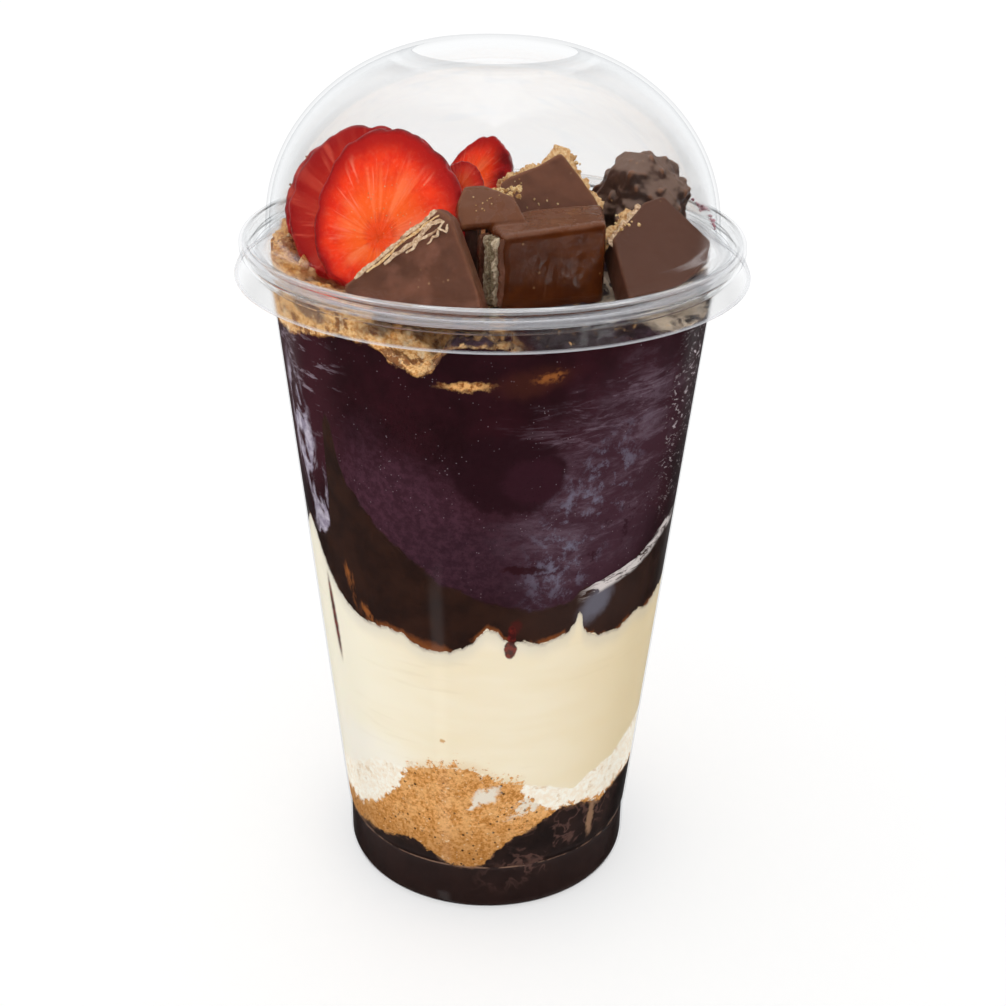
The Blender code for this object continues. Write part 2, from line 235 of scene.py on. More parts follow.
class Finish:
    """A node tree with short calls for the nodes that the finishes use."""

    def __init__(self, tree):
        self.tree = tree

    def node(self, kind, **values):
        made = self.tree.nodes.new(kind)
        for name, value in values.items():
            setattr(made, name, value)
        return made

    def feed(self, socket, value):
        """Link a socket, or set it to a value or to a hex colour."""
        if isinstance(value, bpy.types.NodeSocket):
            self.tree.links.new(value, socket)
        else:
            socket.default_value = colour(value) if isinstance(value, str) else value

    def place(self):
        return self.node("ShaderNodeTexCoord").outputs["Object"]

    def moved(self, vector, shift=(0.0, 0.0, 0.0), turn=(0.0, 0.0, 0.0), scale=(1.0, 1.0, 1.0)):
        made = self.node("ShaderNodeMapping")
        self.feed(made.inputs["Vector"], vector)
        made.inputs["Location"].default_value = shift
        made.inputs["Rotation"].default_value = [math.radians(angle) for angle in turn]
        made.inputs["Scale"].default_value = scale
        return made.outputs["Vector"]

    def noise(self, vector, pitch, detail=4.0, roughness=0.55, distortion=0.0):
        """Noise from 0 to 1, whose lumps are about pitch millimetres apart."""
        made = self.node("ShaderNodeTexNoise")
        self.feed(made.inputs["Vector"], vector)
        made.inputs["Scale"].default_value = 1.0 / (pitch * MM)
        made.inputs["Detail"].default_value = detail
        made.inputs["Roughness"].default_value = roughness
        made.inputs["Distortion"].default_value = distortion
        return made.outputs["Fac"]

    def cells(self, vector, pitch):
        """Distance to the nearest of many scattered points."""
        made = self.node("ShaderNodeTexVoronoi")
        self.feed(made.inputs["Vector"], vector)
        made.inputs["Scale"].default_value = 1.0 / (pitch * MM)
        return made.outputs["Distance"]

    def ramp(self, value, low, high, start=0.0, end=1.0):
        """Ease from start to end as the value goes from low to high."""
        made = self.node("ShaderNodeMapRange", interpolation_type="SMOOTHSTEP")
        self.feed(made.inputs["Value"], value)
        self.feed(made.inputs["From Min"], low)
        self.feed(made.inputs["From Max"], high)
        made.inputs["To Min"].default_value = start
        made.inputs["To Max"].default_value = end
        return made.outputs["Result"]

    def sum(self, operation, first, second=0.0):
        made = self.node("ShaderNodeMath", operation=operation)
        self.feed(made.inputs[0], first)
        self.feed(made.inputs[1], second)
        return made.outputs[0]

    def chain(self, operation, values):
        total = values[0]
        for value in values[1:]:
            total = self.sum(operation, total, value)
        return total

    def times(self, *values):
        return self.chain("MULTIPLY", values)

    def plus(self, *values):
        return self.chain("ADD", values)

    def most(self, *values):
        return self.chain("MAXIMUM", values)

    def less(self, first, second):
        return self.sum("SUBTRACT", first, second)

    def rest(self, share):
        """What a share leaves of 1."""
        return self.sum("SUBTRACT", 1.0, share)

    def band(self, value, low, full, fading, high):
        """1 from full to fading, easing to 0 at low and at high."""
        return self.times(self.ramp(value, low, full), self.ramp(value, high, fading))

    def spots(self, low, high, pitch, *form, **move):
        """Noise eased to 0 at low and to 1 at high, of a pitch and form (detail, roughness, distortion)."""
        place = self.moved(self.place(), **move) if move else self.place()
        return self.ramp(self.noise(place, pitch, *form), low, high)

    def mix(self, mask, under, over):
        made = self.node("ShaderNodeMix", data_type="RGBA")
        self.feed(made.inputs[0], mask)
        self.feed(made.inputs[6], under)
        self.feed(made.inputs[7], over)
        return made.outputs[2]

    def over(self, under, paint, *masks):
        """A colour laid over another, as far as all the masks let it."""
        return self.mix(self.times(*masks), under, paint)

    def apart(self, vector):
        """The X, Y and Z of a vector."""
        made = self.node("ShaderNodeSeparateXYZ")
        self.feed(made.inputs[0], vector)
        return made.outputs

    def blend(self, mask, first, second):
        """Mix two shaders."""
        made = self.node("ShaderNodeMixShader")
        for socket, value in zip(made.inputs, (mask, first, second)):
            self.feed(socket, value)
        return made.outputs[0]

    def paint(self, shader, tint, normal):
        """Give a Principled shader its colour and its bump."""
        self.feed(shader.inputs["Base Color"], tint)
        self.feed(shader.inputs["Normal"], normal)

    def attribute(self, name):
        return self.node("ShaderNodeAttribute", attribute_name=name).outputs["Fac"]

    def bump(self, height, depth, normal=None):
        """A bump whose full height is depth millimetres."""
        made = self.node("ShaderNodeBump")
        self.feed(made.inputs["Height"], height)
        made.inputs["Strength"].default_value = 1.0
        made.inputs["Distance"].default_value = depth * MM
        if normal:
            self.feed(made.inputs["Normal"], normal)
        return made.outputs["Normal"]

    def group(self, tree, **values):
        made = self.node("ShaderNodeGroup", node_tree=tree)
        for name, value in values.items():
            self.feed(made.inputs[name.replace("_", " ").capitalize()], value)
        return made.outputs

    def wall(self, ragged=0.0, pitch=3.0):
        """The azimuth and the height on the cup's wall, moved about by noise."""
        out = self.group(WALL_PLACE, ragged=ragged, pitch=pitch)
        return out["Azimuth"], out["Height"]

    def patch(self, wall, azimuth, height, half_width, half_height, slant=0.0, edge=0.2):
        out = self.group(WALL_PATCH, azimuth=wall[0], height=wall[1], at_azimuth=azimuth, at_height=height,
                         half_width=half_width, half_height=half_height, slant=slant, edge=edge)
        return out["Mask"]


def new_look(name, roughness=0.5, **plain):
    """A material with a Principled shader, and its tree's short calls."""
    look = bpy.data.materials.new(name)
    look.use_nodes = True
    shader = look.node_tree.nodes["Principled BSDF"]
    shader.inputs["Roughness"].default_value = roughness
    for socket, value in plain.items():
        shader.inputs[socket.replace("_", " ")].default_value = value
    return look, Finish(look.node_tree), shader


def new_group(name, inputs, outputs):
    """An empty shader node group with float inputs (name, value), and named outputs."""
    tree = bpy.data.node_groups.new(name, "ShaderNodeTree")
    for label, value in inputs:
        socket = tree.interface.new_socket(label, in_out="INPUT", socket_type="NodeSocketFloat")
        socket.default_value = value
    for label in outputs:
        tree.interface.new_socket(label, in_out="OUTPUT", socket_type="NodeSocketFloat")
    given = tree.nodes.new("NodeGroupInput").outputs
    return Finish(tree), given, tree.nodes.new("NodeGroupOutput").inputs


def make_wall_place():
    """Where a point is on the cup's wall: its azimuth in degrees and its height in millimetres."""
    kit, given, result = new_group("Wall place", [("Ragged", 0.0), ("Pitch", 3.0)], ["Azimuth", "Height"])
    place = kit.place()
    parts = kit.apart(place)
    back = kit.times(parts[1], -1.0)
    turn = kit.sum("ARCTAN2", parts[0], back)
    azimuth = kit.times(turn, 180.0 / math.pi)
    height = kit.times(parts[2], 1.0 / MM)
    scale = kit.sum("DIVIDE", 1.0 / MM, given["Pitch"])
    wave = kit.node("ShaderNodeTexNoise")
    kit.feed(wave.inputs["Vector"], place)
    kit.feed(wave.inputs["Scale"], scale)
    wave.inputs["Detail"].default_value = 6.0
    wave.inputs["Roughness"].default_value = 0.62
    shifts = kit.apart(wave.outputs["Color"])
    for label, value, axis in (("Azimuth", azimuth, 0), ("Height", height, 2)):
        centred = kit.less(shifts[axis], 0.5)
        kit.feed(result[label], kit.plus(value, kit.times(centred, given["Ragged"])))
    return kit.tree


def make_patch():
    """A patch on the wall: an ellipse round a place, slanted, with a soft or a sharp edge."""
    inputs = [("Azimuth", 0.0), ("Height", 0.0), ("At azimuth", 0.0), ("At height", 0.0),
              ("Half width", 10.0), ("Half height", 10.0), ("Slant", 0.0), ("Edge", 0.2)]
    kit, given, result = new_group("Wall patch", inputs, ["Mask"])
    across = kit.less(given["Azimuth"], given["At azimuth"])
    lean = kit.times(across, given["Slant"])
    up = kit.less(kit.less(given["Height"], given["At height"]), lean)
    first = kit.sum("POWER", kit.sum("DIVIDE", across, given["Half width"]), 2.0)
    second = kit.sum("POWER", kit.sum("DIVIDE", up, given["Half height"]), 2.0)
    away = kit.sum("SQRT", kit.plus(first, second))
    inner = kit.rest(given["Edge"])
    outer = kit.plus(1.0, given["Edge"])
    kit.feed(result["Mask"], kit.rest(kit.ramp(away, inner, outer)))
    return kit.tree


WALL_PLACE = make_wall_place()
WALL_PATCH = make_patch()


# ---------------------------------------------------------------- looks

def clear_plastic_look():
    """Clear thin plastic.  Lamps shine through it, so that what it holds is lit as in the open."""
    look, kit, shader = new_look("clear_plastic", 0.025, IOR=1.47, Transmission_Weight=1.0)
    ripples = kit.noise(kit.place(), 22.0, 2.0, 0.4)
    kit.paint(shader, CLEAR, kit.bump(ripples, 0.12))
    x, y, z = kit.apart(kit.place())
    height = kit.times(z, 1.0 / MM)
    across = kit.times(kit.sum("SQRT", kit.plus(kit.times(x, x), kit.times(y, y))), 1.0 / MM)
    ring = kit.band(height, 136.5, 137.5, 145.0, 145.6)
    kit.feed(shader.inputs["Roughness"], kit.plus(kit.times(ring, 0.06), 0.025))

    # Plainly transparent for the lamps, deep inside, at the hole's edge, and where it is seen edge on.
    path = kit.node("ShaderNodeLightPath").outputs
    lit = kit.most(path["Is Shadow Ray"], path["Is Diffuse Ray"])
    deep = kit.sum("GREATER_THAN", path["Ray Depth"], 9.5)
    at_hole = kit.sum("GREATER_THAN", height, 178.9)
    edge = kit.node("ShaderNodeLayerWeight").outputs["Facing"]
    inside = kit.node("ShaderNodeNewGeometry").outputs["Backfacing"]
    entering = kit.times(kit.ramp(edge, 0.55, 0.82), kit.rest(inside))
    leaving = kit.times(kit.sum("GREATER_THAN", edge, 0.29), inside)
    through = kit.most(lit, deep, at_hole, kit.most(entering, leaving))
    cut = kit.times(kit.ramp(height, 179.2, 179.6), 0.8)
    dim = kit.most(kit.ramp(edge, 0.8, 0.97), cut)
    open_air = kit.node("ShaderNodeBsdfTransparent")
    kit.feed(open_air.inputs["Color"], kit.over(CLEAR, EDGE_GREY, dim, kit.rest(lit)))
    body = kit.blend(through, shader.outputs[0], open_air.outputs[0])

    # Painted highlights: pale bands on the lid's bead, the cup's rolled rim and the lid's hem, for the
    # light that their edges catch.
    bead = kit.times(kit.band(height, 144.3, 144.7, 144.9, 145.2), kit.ramp(across, 48.6, 49.0), 0.22)
    rim = kit.times(kit.band(height, 141.0, 141.4, 142.0, 142.2), kit.ramp(across, 48.2, 47.8), 0.24)
    hem = kit.times(kit.ramp(height, 137.95, 137.7), kit.ramp(across, 50.2, 50.8), 0.3)
    frost_and_highlight = kit.node("ShaderNodeBsdfDiffuse")
    frost_and_highlight.inputs["Color"].default_value = (0.86, 0.86, 0.9, 1.0)
    kit.feed(look.node_tree.nodes["Material Output"].inputs["Surface"],
             kit.blend(kit.most(bead, rim, hem), body, frost_and_highlight.outputs[0]))
    return look


def colour_group(name, paint):
    """A node group that gives the colour of one layer, as the function paints it."""
    tree = bpy.data.node_groups.new(name, "ShaderNodeTree")
    tree.interface.new_socket("Color", in_out="OUTPUT", socket_type="NodeSocketColor")
    kit = Finish(tree)
    kit.feed(tree.nodes.new("NodeGroupOutput").inputs[0], paint(kit))
    return tree


def acai_colour(kit):
    place = kit.place()
    wall = kit.wall(5.0, 6.0)
    fine = kit.wall(3.0, 1.6)
    coarse = kit.wall(14.0, 12.0)
    cloud = kit.spots(0.35, 0.68, 9.0, 5.0, 0.6)
    tint = kit.mix(cloud, "23030a", "2f0812")
    left = kit.patch(coarse, -66.0, 118.0, 22.0, 22.0, 0.0, 0.4)
    tint = kit.over(tint, "4c212b", left, 0.5)
    grain = kit.spots(0.38, 0.66, 1.4, 5.0, 0.7)
    lavender = kit.patch(coarse, -22.0, 97.0, 25.0, 15.5, -0.2, 0.45)
    frosted = kit.mix(grain, "3a1b27", "4e2b39")
    tint = kit.over(tint, frosted, lavender, 0.9)
    lower = kit.patch(coarse, 10.0, 90.0, 40.0, 11.0, 0.0, 0.5)
    tint = kit.over(tint, kit.mix(grain, "2d1420", "3e212c"), lower, 0.65)
    veil = kit.times(kit.patch(coarse, 34.0, 104.0, 27.0, 23.0, 0.3, 0.5), 0.55)
    tint = kit.mix(veil, tint, "4a2c38")
    flow = kit.spots(0.45, 0.68, 5.0, 7.0, 0.72, 0.4, turn=(0.0, -28.0, 0.0), scale=(0.45, 0.45, 1.3))
    frost = kit.times(kit.patch(coarse, 33.0, 107.0, 25.0, 20.0, 0.35, 0.5), flow)
    tint = kit.over(tint, "6a5662", frost, 0.62)
    blots = kit.spots(0.49, 0.64, 4.5, 7.0, 0.75, 0.25)
    frost_and_highlight = kit.times(kit.patch(coarse, 27.0, 98.0, 15.0, 13.0, 0.7, 0.5), blots)
    tint = kit.over(tint, "747082", frost_and_highlight, 0.7)
    top_streaks = kit.spots(0.5, 0.66, 2.6, 6.0, 0.7, 0.6, turn=(0.0, 6.0, 0.0), scale=(0.3, 0.3, 1.6))
    misted = kit.times(kit.patch(coarse, 32.0, 120.0, 22.0, 6.0, 0.05, 0.5), top_streaks)
    tint = kit.over(tint, "74606c", misted, 0.6)
    holes = kit.spots(0.56, 0.64, 3.2, 5.0, 0.7, shift=(0.013, 0.002, 0.007))
    gaps = kit.times(kit.patch(coarse, 40.0, 93.0, 14.0, 9.0, 0.4, 0.5), holes)
    tint = kit.over(tint, "2c0f1a", gaps, 0.8)
    melted = kit.patch(kit.wall(5.0, 3.6), 5.0, 109.8, 15.0, 8.4, 0.0, 0.1)
    ring = kit.patch(wall, 11.0, 108.5, 8.0, 5.2, 0.0, 0.2)
    tint = kit.over(tint, "260610", melted, 0.9)
    tint = kit.over(tint, "3c1624", ring, 0.4)
    dash = kit.patch(fine, 10.0, 88.8, 6.5, 0.9, -0.06, 0.25)
    tint = kit.over(tint, "2c060e", dash, 0.85)
    nuts = kit.spots(0.38, 0.58, 1.1, 3.0, 0.6)
    near = kit.patch(fine, -6.0, 128.3, 5.5, 0.75, 0.03, 0.6)
    far = kit.patch(fine, 14.0, 129.9, 3.4, 1.0, 0.12, 0.7)
    tint = kit.over(tint, kit.mix(nuts, "8f5322", "e8ae6c"), near, 0.95)
    tint = kit.over(tint, "a2602a", far, nuts, 0.8)
    warm = kit.patch(wall, 10.0, 129.2, 9.0, 2.4, 0.1, 0.7)
    tint = kit.over(tint, "6a3418", warm, 0.22)
    scratches = kit.times(kit.patch(coarse, -62.0, 122.0, 18.0, 11.0, 0.0, 0.4),
                          kit.spots(0.57, 0.63, 1.5, 6.0, 0.65, turn=(0.0, 50.0, 0.0),
                                    scale=(1.0 / 6.0, 1.0 / 6.0, 1.0)))
    tint = kit.over(tint, "a494a0", scratches, 0.55)
    patchy = kit.spots(0.45, 0.55, 5.5, 4.0, 0.55, 1.2, turn=(0.0, 12.0, 0.0), scale=(1.0, 1.0, 0.5))
    milk = kit.most(kit.patch(wall, -64.0, 108.0, 7.5, 15.0, -0.7, 0.35),
                    kit.patch(wall, -58.0, 93.0, 6.5, 11.0, 0.4, 0.35))
    tint = kit.over(tint, kit.mix(grain, "8f8496", "cbc2cf"), milk, patchy, 0.95)
    squiggle = kit.spots(0.60, 0.64, 2.2, 4.0, 0.55, 2.5, shift=(0.01, 0.02, 0.0), scale=(0.6, 0.6, 1.4))
    squiggle = kit.times(kit.patch(coarse, 66.0, 114.0, 12.0, 20.0, 0.0, 0.4), squiggle)
    tint = kit.over(tint, "cbbdc0", squiggle, 0.85)
    specks = kit.ramp(kit.cells(place, 1.0), 0.16, 0.05)
    specks = kit.times(specks, kit.spots(0.5, 0.6, 5.0, 2.0))
    tint = kit.over(tint, "a898a0", specks, 0.45)
    pits = kit.ramp(kit.cells(kit.moved(place, (0.1, 0.1, 0.1)), 0.9), 0.22, 0.08)
    pits = kit.times(pits, kit.spots(0.45, 0.55, 3.0, 2.0))
    return kit.over(tint, "16040a", pits, 0.45)


def ganache_colour(kit):
    fine = kit.wall(3.0, 2.0)
    cloud = kit.spots(0.35, 0.7, 6.0, 4.0)
    tint = kit.mix(cloud, "261008", "33190d")
    right = kit.times(kit.patch(kit.wall(8.0, 6.0), 30.0, 77.0, 22.0, 7.0, 0.0, 0.5), 0.5)
    tint = kit.mix(right, tint, "3c2720")
    sweep = kit.spots(0.45, 0.6, 2.2, 4.0, 0.6, turn=(0.0, 40.0, 0.0), scale=(1.0, 1.0, 0.3))
    thin = kit.most(kit.patch(fine, -46.0, 79.5, 2.6, 3.4, -1.6, 0.6),
                    kit.patch(fine, -39.5, 73.5, 3.2, 1.2, -0.6, 0.6))
    tint = kit.over(tint, "925220", thin, sweep, 0.95)
    grey = kit.times(kit.patch(fine, 33.5, 78.0, 5.5, 3.4, 0.3, 0.5), 0.75)
    return kit.mix(grey, tint, "6e6c78")


def cream_colour(kit):
    cloud = kit.spots(0.3, 0.7, 9.0, 4.0, scale=(0.4, 0.4, 1.6))
    tint = kit.mix(cloud, "f4e5c6", "f7eacf")
    turn = kit.wall(6.0, 9.0)[0]
    # Painted light and shade: the cream is darker towards the right and lighter towards the left, as if lit
    # from the left.
    darker = kit.times(kit.band(turn, 5.0, 62.0, 100.0, 160.0), 0.8)
    tint = kit.mix(darker, tint, "e6d0a4")
    painted_light_left = kit.times(kit.ramp(turn, -10.0, -60.0), kit.ramp(turn, -160.0, -100.0), 0.85)
    tint = kit.mix(painted_light_left, tint, "fff7e2")
    lines = kit.spots(0.6, 0.7, 1.6, 3.0, scale=(0.08, 0.08, 1.0))
    return kit.over(tint, "cdb88e", lines, 0.1)


def crumble_colour(kit):
    place = kit.place()
    grain = kit.noise(place, 0.75, 5.0, 0.72)
    tint = kit.mix(kit.ramp(grain, 0.38, 0.62), "b67734", "eaa862")
    lumps = kit.spots(0.42, 0.62, 3.0, 4.0, 0.65)
    tint = kit.over(tint, "f4bc7c", lumps, 0.5)
    low = kit.ramp(kit.wall(6.0, 4.0)[1], 26.0, 13.0)
    tint = kit.over(tint, "9a6328", low, 0.55)
    dark = kit.times(kit.ramp(kit.cells(place, 1.5), 0.24, 0.14), kit.spots(0.44, 0.56, 2.2, 2.0))
    tint = kit.over(tint, "24120a", dark, 0.9)
    bits = kit.spots(0.61, 0.68, 0.9, 4.0, 0.7, shift=(0.05, 0.02, 0.01))
    tint = kit.over(tint, "5e3818", bits, 0.7)
    pale = kit.spots(0.62, 0.69, 1.0, 4.0, 0.7, shift=(0.03, 0.07, 0.02))
    return kit.over(tint, "f3dcb4", pale, 0.75)


def milk_colour(kit):
    place = kit.place()
    grain = kit.noise(place, 1.1, 5.0, 0.7)
    tint = kit.mix(kit.ramp(grain, 0.36, 0.62), "f8e8d0", "fffaec")
    dust = kit.spots(0.55, 0.64, 2.4, 6.0, 0.72)
    return kit.over(tint, "d2ab78", dust, 0.55)


def base_colour(kit):
    cloud = kit.spots(0.35, 0.68, 7.0, 5.0, 0.6)
    tint = kit.mix(cloud, "1b0d0a", "2b1914")
    height = kit.wall()[1]
    foot = kit.ramp(height, 12.0, 10.6)
    tint = kit.over(tint, "27110c", foot, 0.6)
    lumps = kit.spots(0.5, 0.56, 4.2, 3.0, 0.5, 0.5, shift=(0.01, 0.0, 0.03))
    lumps = kit.times(lumps, kit.spots(0.62, 0.56, 4.2, 3.0, 0.5, 0.5, shift=(0.01, 0.0, 0.03)))
    lumps = kit.times(lumps, kit.patch(kit.wall(8.0, 5.0), 34.0, 19.0, 32.0, 6.5, 0.3, 0.4))
    tint = kit.over(tint, "6d4c42", lumps, 0.55)
    # A pale, broken line along the foot's step: partly a tan streak in the chocolate, partly painted
    # highlight.
    step_highlight = kit.times(kit.band(height, 11.0, 11.3, 11.7, 12.0), kit.spots(0.42, 0.56, 4.0, 3.0))
    return kit.over(tint, "94705a", step_highlight, 0.75)


ACAI = colour_group("Acai colour", acai_colour)
GANACHE = colour_group("Ganache colour", ganache_colour)
CREAM = colour_group("Cream colour", cream_colour)
CRUMBLE = colour_group("Crumble colour", crumble_colour)
MILK = colour_group("Milk colour", milk_colour)
BASE = colour_group("Base colour", base_colour)


def edge_shift(kit, size, pitch, shift=(0.0, 0.0, 0.0)):
    """How far noise moves the visible edge between two layers, in millimetres either way."""
    wave = kit.noise(kit.moved(kit.place(), shift), pitch, 6.0, 0.65, 0.4)
    return kit.times(kit.less(wave, 0.5), 4.0 * size)


def over_edge(kit, depth, shift, soft=0.25):
    """1 on the upper side of the moved edge, where depth is the height above the plain edge."""
    return kit.ramp(kit.plus(depth, shift), -soft, soft)


def milk_thin(kit):
    """1 where the milk layer runs out, with a powdery edge."""
    ragged = kit.less(kit.noise(kit.moved(kit.place(), (0.02, 0.01, 0.0)), 2.6, 6.0, 0.72), 0.5)
    return kit.ramp(kit.plus(kit.attribute("milk_depth"), kit.times(ragged, 14.0)), 2.6, 1.4)


def below(kit):
    return kit.times(kit.attribute("below_top"), -1.0)


def acai_look():
    look, kit, shader = new_look("acai", 0.6, Specular_IOR_Level=0.1)
    edge = edge_shift(kit, 1.1, 4.5, (0.02, 0.0, 0.01))
    mask = over_edge(kit, kit.attribute("above_bottom"), edge, 0.5)
    tint = kit.mix(mask, kit.group(GANACHE)[0], kit.group(ACAI)[0])
    crumbs = over_edge(kit, below(kit), edge_shift(kit, 0.9, 2.6), 0.5)
    left = kit.ramp(kit.wall(4.0, 4.0)[0], -8.0, -14.0)
    tint = kit.over(tint, kit.group(CRUMBLE)[0], crumbs, left)
    kit.paint(shader, tint, kit.bump(kit.noise(kit.place(), 1.2, 4.0), 0.06))
    return look


def ganache_look():
    look, kit, shader = new_look("ganache", 0.4, Specular_IOR_Level=0.2)
    above = kit.attribute("above_bottom")
    upper = over_edge(kit, below(kit), edge_shift(kit, 1.1, 4.5, (0.02, 0.0, 0.01)), 0.5)
    tint = kit.mix(upper, kit.group(GANACHE)[0], kit.group(ACAI)[0])
    edge = edge_shift(kit, 0.55, 2.2)
    tint = kit.over(tint, "7d4218", amber_rim(kit, above, edge), 0.9)
    tint = kit.mix(milk_streak(kit), tint, "dad0cc")
    tint = kit.mix(over_edge(kit, above, edge, 0.2), kit.group(CREAM)[0], tint)
    kit.paint(shader, syrup(kit, tint), kit.bump(kit.noise(kit.place(), 3.0, 3.0), 0.1))
    return look


def amber_rim(kit, above, edge):
    """Where the dark sauce thins out over the cream, in patches along its edge."""
    depth = kit.plus(above, edge)
    rim = kit.ramp(depth, 1.5, 0.3)
    patches = kit.spots(0.47, 0.58, 6.0, 3.0, shift=(0.01, 0.0, 0.0))
    wide = kit.patch(kit.wall(4.0, 2.0), -18.5, 70.0, 7.0, 1.7, -0.12, 0.4)
    return kit.most(kit.times(rim, patches), kit.times(wide, kit.ramp(depth, 3.0, 0.5)))


def milk_streak(kit):
    """The pale streak under the acai at the right, ragged along both edges."""
    turn = kit.wall(3.5, 3.0)[0]
    near_top = kit.ramp(kit.attribute("below_top"), 3.2, 2.0)
    span = kit.band(turn, 26.0, 34.0, 66.0, 78.0)
    tatters = kit.spots(0.42, 0.52, 2.0, 6.0, 0.7, 0.8, turn=(0.0, -28.0, 0.0), scale=(0.4, 0.4, 1.4))
    return kit.times(near_top, span, tatters, 0.92)


def syrup(kit, tint):
    """The red syrup: a drop under the sauce, and a long run down the left side."""
    wall = kit.wall(1.2, 1.2)
    drop = kit.most(kit.patch(wall, 6.6, 70.1, 1.9, 2.2, 0.0, 0.12),
                    kit.patch(wall, 6.9, 73.2, 1.25, 2.6, 0.0, 0.2))
    run = kit.patch(wall, -59.0, 67.0, 1.9, 7.5, -3.2, 0.25)
    stain = kit.patch(kit.wall(3.0, 2.0), 8.2, 75.6, 1.8, 1.6, 0.0, 0.4)
    shade = kit.mix(kit.spots(0.4, 0.6, 1.4, 3.0), "400a08", "741a10")
    tint = kit.over(tint, "4d120e", stain, 0.7)
    return kit.over(tint, shade, kit.most(drop, run), 0.95)


def cream_look():
    look, kit, shader = new_look("cream", 0.45, Specular_IOR_Level=0.2, Subsurface_Weight=0.1)
    shader.inputs["Subsurface Radius"].default_value = (1.0, 0.7, 0.4)
    shader.inputs["Subsurface Scale"].default_value = 1.5 * MM
    place = kit.place()
    tint = kit.group(CREAM)[0]
    # Painted shade: the cream is greyer just under the sauce's edge.
    shade_under_ganache = kit.ramp(kit.attribute("below_top"), 5.0, 0.0)
    tint = kit.over(tint, "b9b8b6", shade_under_ganache, 0.32)
    milky = kit.times(kit.patch(kit.wall(8.0, 5.0), -50.0, 34.0, 24.0, 8.0, 0.0, 0.5), 0.6)
    tint = kit.mix(milky, tint, "fbf4e8")
    above = kit.attribute("above_bottom")
    thin = milk_thin(kit)
    grain = kit.less(kit.noise(place, 1.3, 5.0, 0.75), 0.5)
    strewn = kit.ramp(kit.less(kit.times(grain, 22.0), above), -0.9, 0.4)
    haze = kit.ramp(above, 3.5, 0.0, 0.0, 0.35)
    tint = kit.over(tint, "dcb27a", haze, thin)
    tint = kit.over(tint, kit.group(CRUMBLE)[0], strewn, thin)
    thick = kit.rest(thin)
    powder = kit.rest(over_edge(kit, above, edge_shift(kit, 0.8, 2.2, (0.01, 0.01, 0.0)), 0.5))
    tint = kit.over(tint, kit.group(MILK)[0], powder, thick)
    stray = kit.patch(kit.wall(2.0, 1.2), -15.2, 46.1, 1.0, 0.5, 0.0, 0.4)
    tint = kit.over(tint, "c98f42", stray, 0.8)
    depth = below(kit)
    edge = edge_shift(kit, 0.55, 2.2)
    fringe = kit.ramp(kit.plus(depth, edge), -1.0, 0.0)
    tint = kit.over(tint, "8c7a70", fringe, 0.45)
    sauce = kit.mix(amber_rim(kit, depth, edge), kit.group(GANACHE)[0], "7d4218")
    tint = kit.mix(over_edge(kit, depth, edge, 0.2), tint, sauce)
    kit.paint(shader, syrup(kit, tint), kit.bump(kit.noise(place, 7.0, 3.0), 0.08))
    return look


def milk_look():
    look, kit, shader = new_look("milk_layer", 0.65, Specular_IOR_Level=0.15)
    place = kit.place()
    tint = kit.group(MILK)[0]
    lower = over_edge(kit, kit.attribute("above_bottom"), edge_shift(kit, 2.4, 1.9, (0.0, 0.02, 0.0)), 0.6)
    tint = kit.mix(lower, kit.group(CRUMBLE)[0], tint)
    thin = milk_thin(kit)
    tint = kit.mix(thin, tint, kit.group(CRUMBLE)[0])
    kit.paint(shader, tint, kit.bump(kit.noise(place, 1.0, 4.0, 0.65), 0.25))
    return look


def crumble_look():
    look, kit, shader = new_look("peanut_crumble", 0.7, Specular_IOR_Level=0.15)
    place = kit.place()
    tint = kit.group(CRUMBLE)[0]
    upper = over_edge(kit, below(kit), edge_shift(kit, 2.4, 1.9, (0.0, 0.02, 0.0)), 0.6)
    tint = kit.over(tint, kit.group(MILK)[0], upper, kit.rest(milk_thin(kit)))
    fine = kit.wall(7.0, 1.8)
    star = kit.most(kit.patch(fine, -0.4, 32.0, 4.4, 2.3, 0.2, 0.35),
                    kit.patch(fine, -4.0, 30.2, 2.6, 0.9, 0.5, 0.4))
    strewn = kit.patch(kit.wall(12.0, 2.0), 15.0, 28.6, 7.0, 1.8, 0.32, 0.7)
    pale = kit.most(star, kit.times(strewn, kit.spots(0.46, 0.54, 1.6, 5.0, 0.7)))
    tint = kit.over(tint, "efe5d3", pale, 0.95)
    lower = over_edge(kit, kit.attribute("above_bottom"), edge_shift(kit, 0.8, 1.6, (0.03, 0.0, 0.0)), 0.3)
    tint = kit.mix(lower, kit.group(BASE)[0], tint)
    kit.paint(shader, tint, kit.bump(kit.noise(place, 0.8, 5.0, 0.7), 0.3))
    return look


def base_look():
    look, kit, shader = new_look("chocolate_base", 0.45, Specular_IOR_Level=0.2)
    place = kit.place()
    tint = kit.group(BASE)[0]
    wall = kit.wall(4.0, 2.4)
    drip = kit.most(kit.patch(wall, 43.5, 19.5, 1.7, 5.0, 0.0, 0.35),
                    kit.patch(wall, 45.5, 26.0, 2.6, 3.6, 0.2, 0.4))
    tint = kit.over(tint, "a07a5c", drip, 0.8)
    edge = edge_shift(kit, 0.8, 1.6, (0.03, 0.0, 0.0))
    film = kit.times(kit.ramp(kit.plus(below(kit), edge), -1.3, -0.2), kit.spots(0.42, 0.6, 3.0, 4.0))
    tint = kit.over(tint, "94694a", film, 0.55)
    tint = kit.mix(over_edge(kit, below(kit), edge, 0.3), tint, kit.group(CRUMBLE)[0])
    kit.paint(shader, tint, kit.bump(kit.noise(place, 2.5, 3.0), 0.08))
    return look


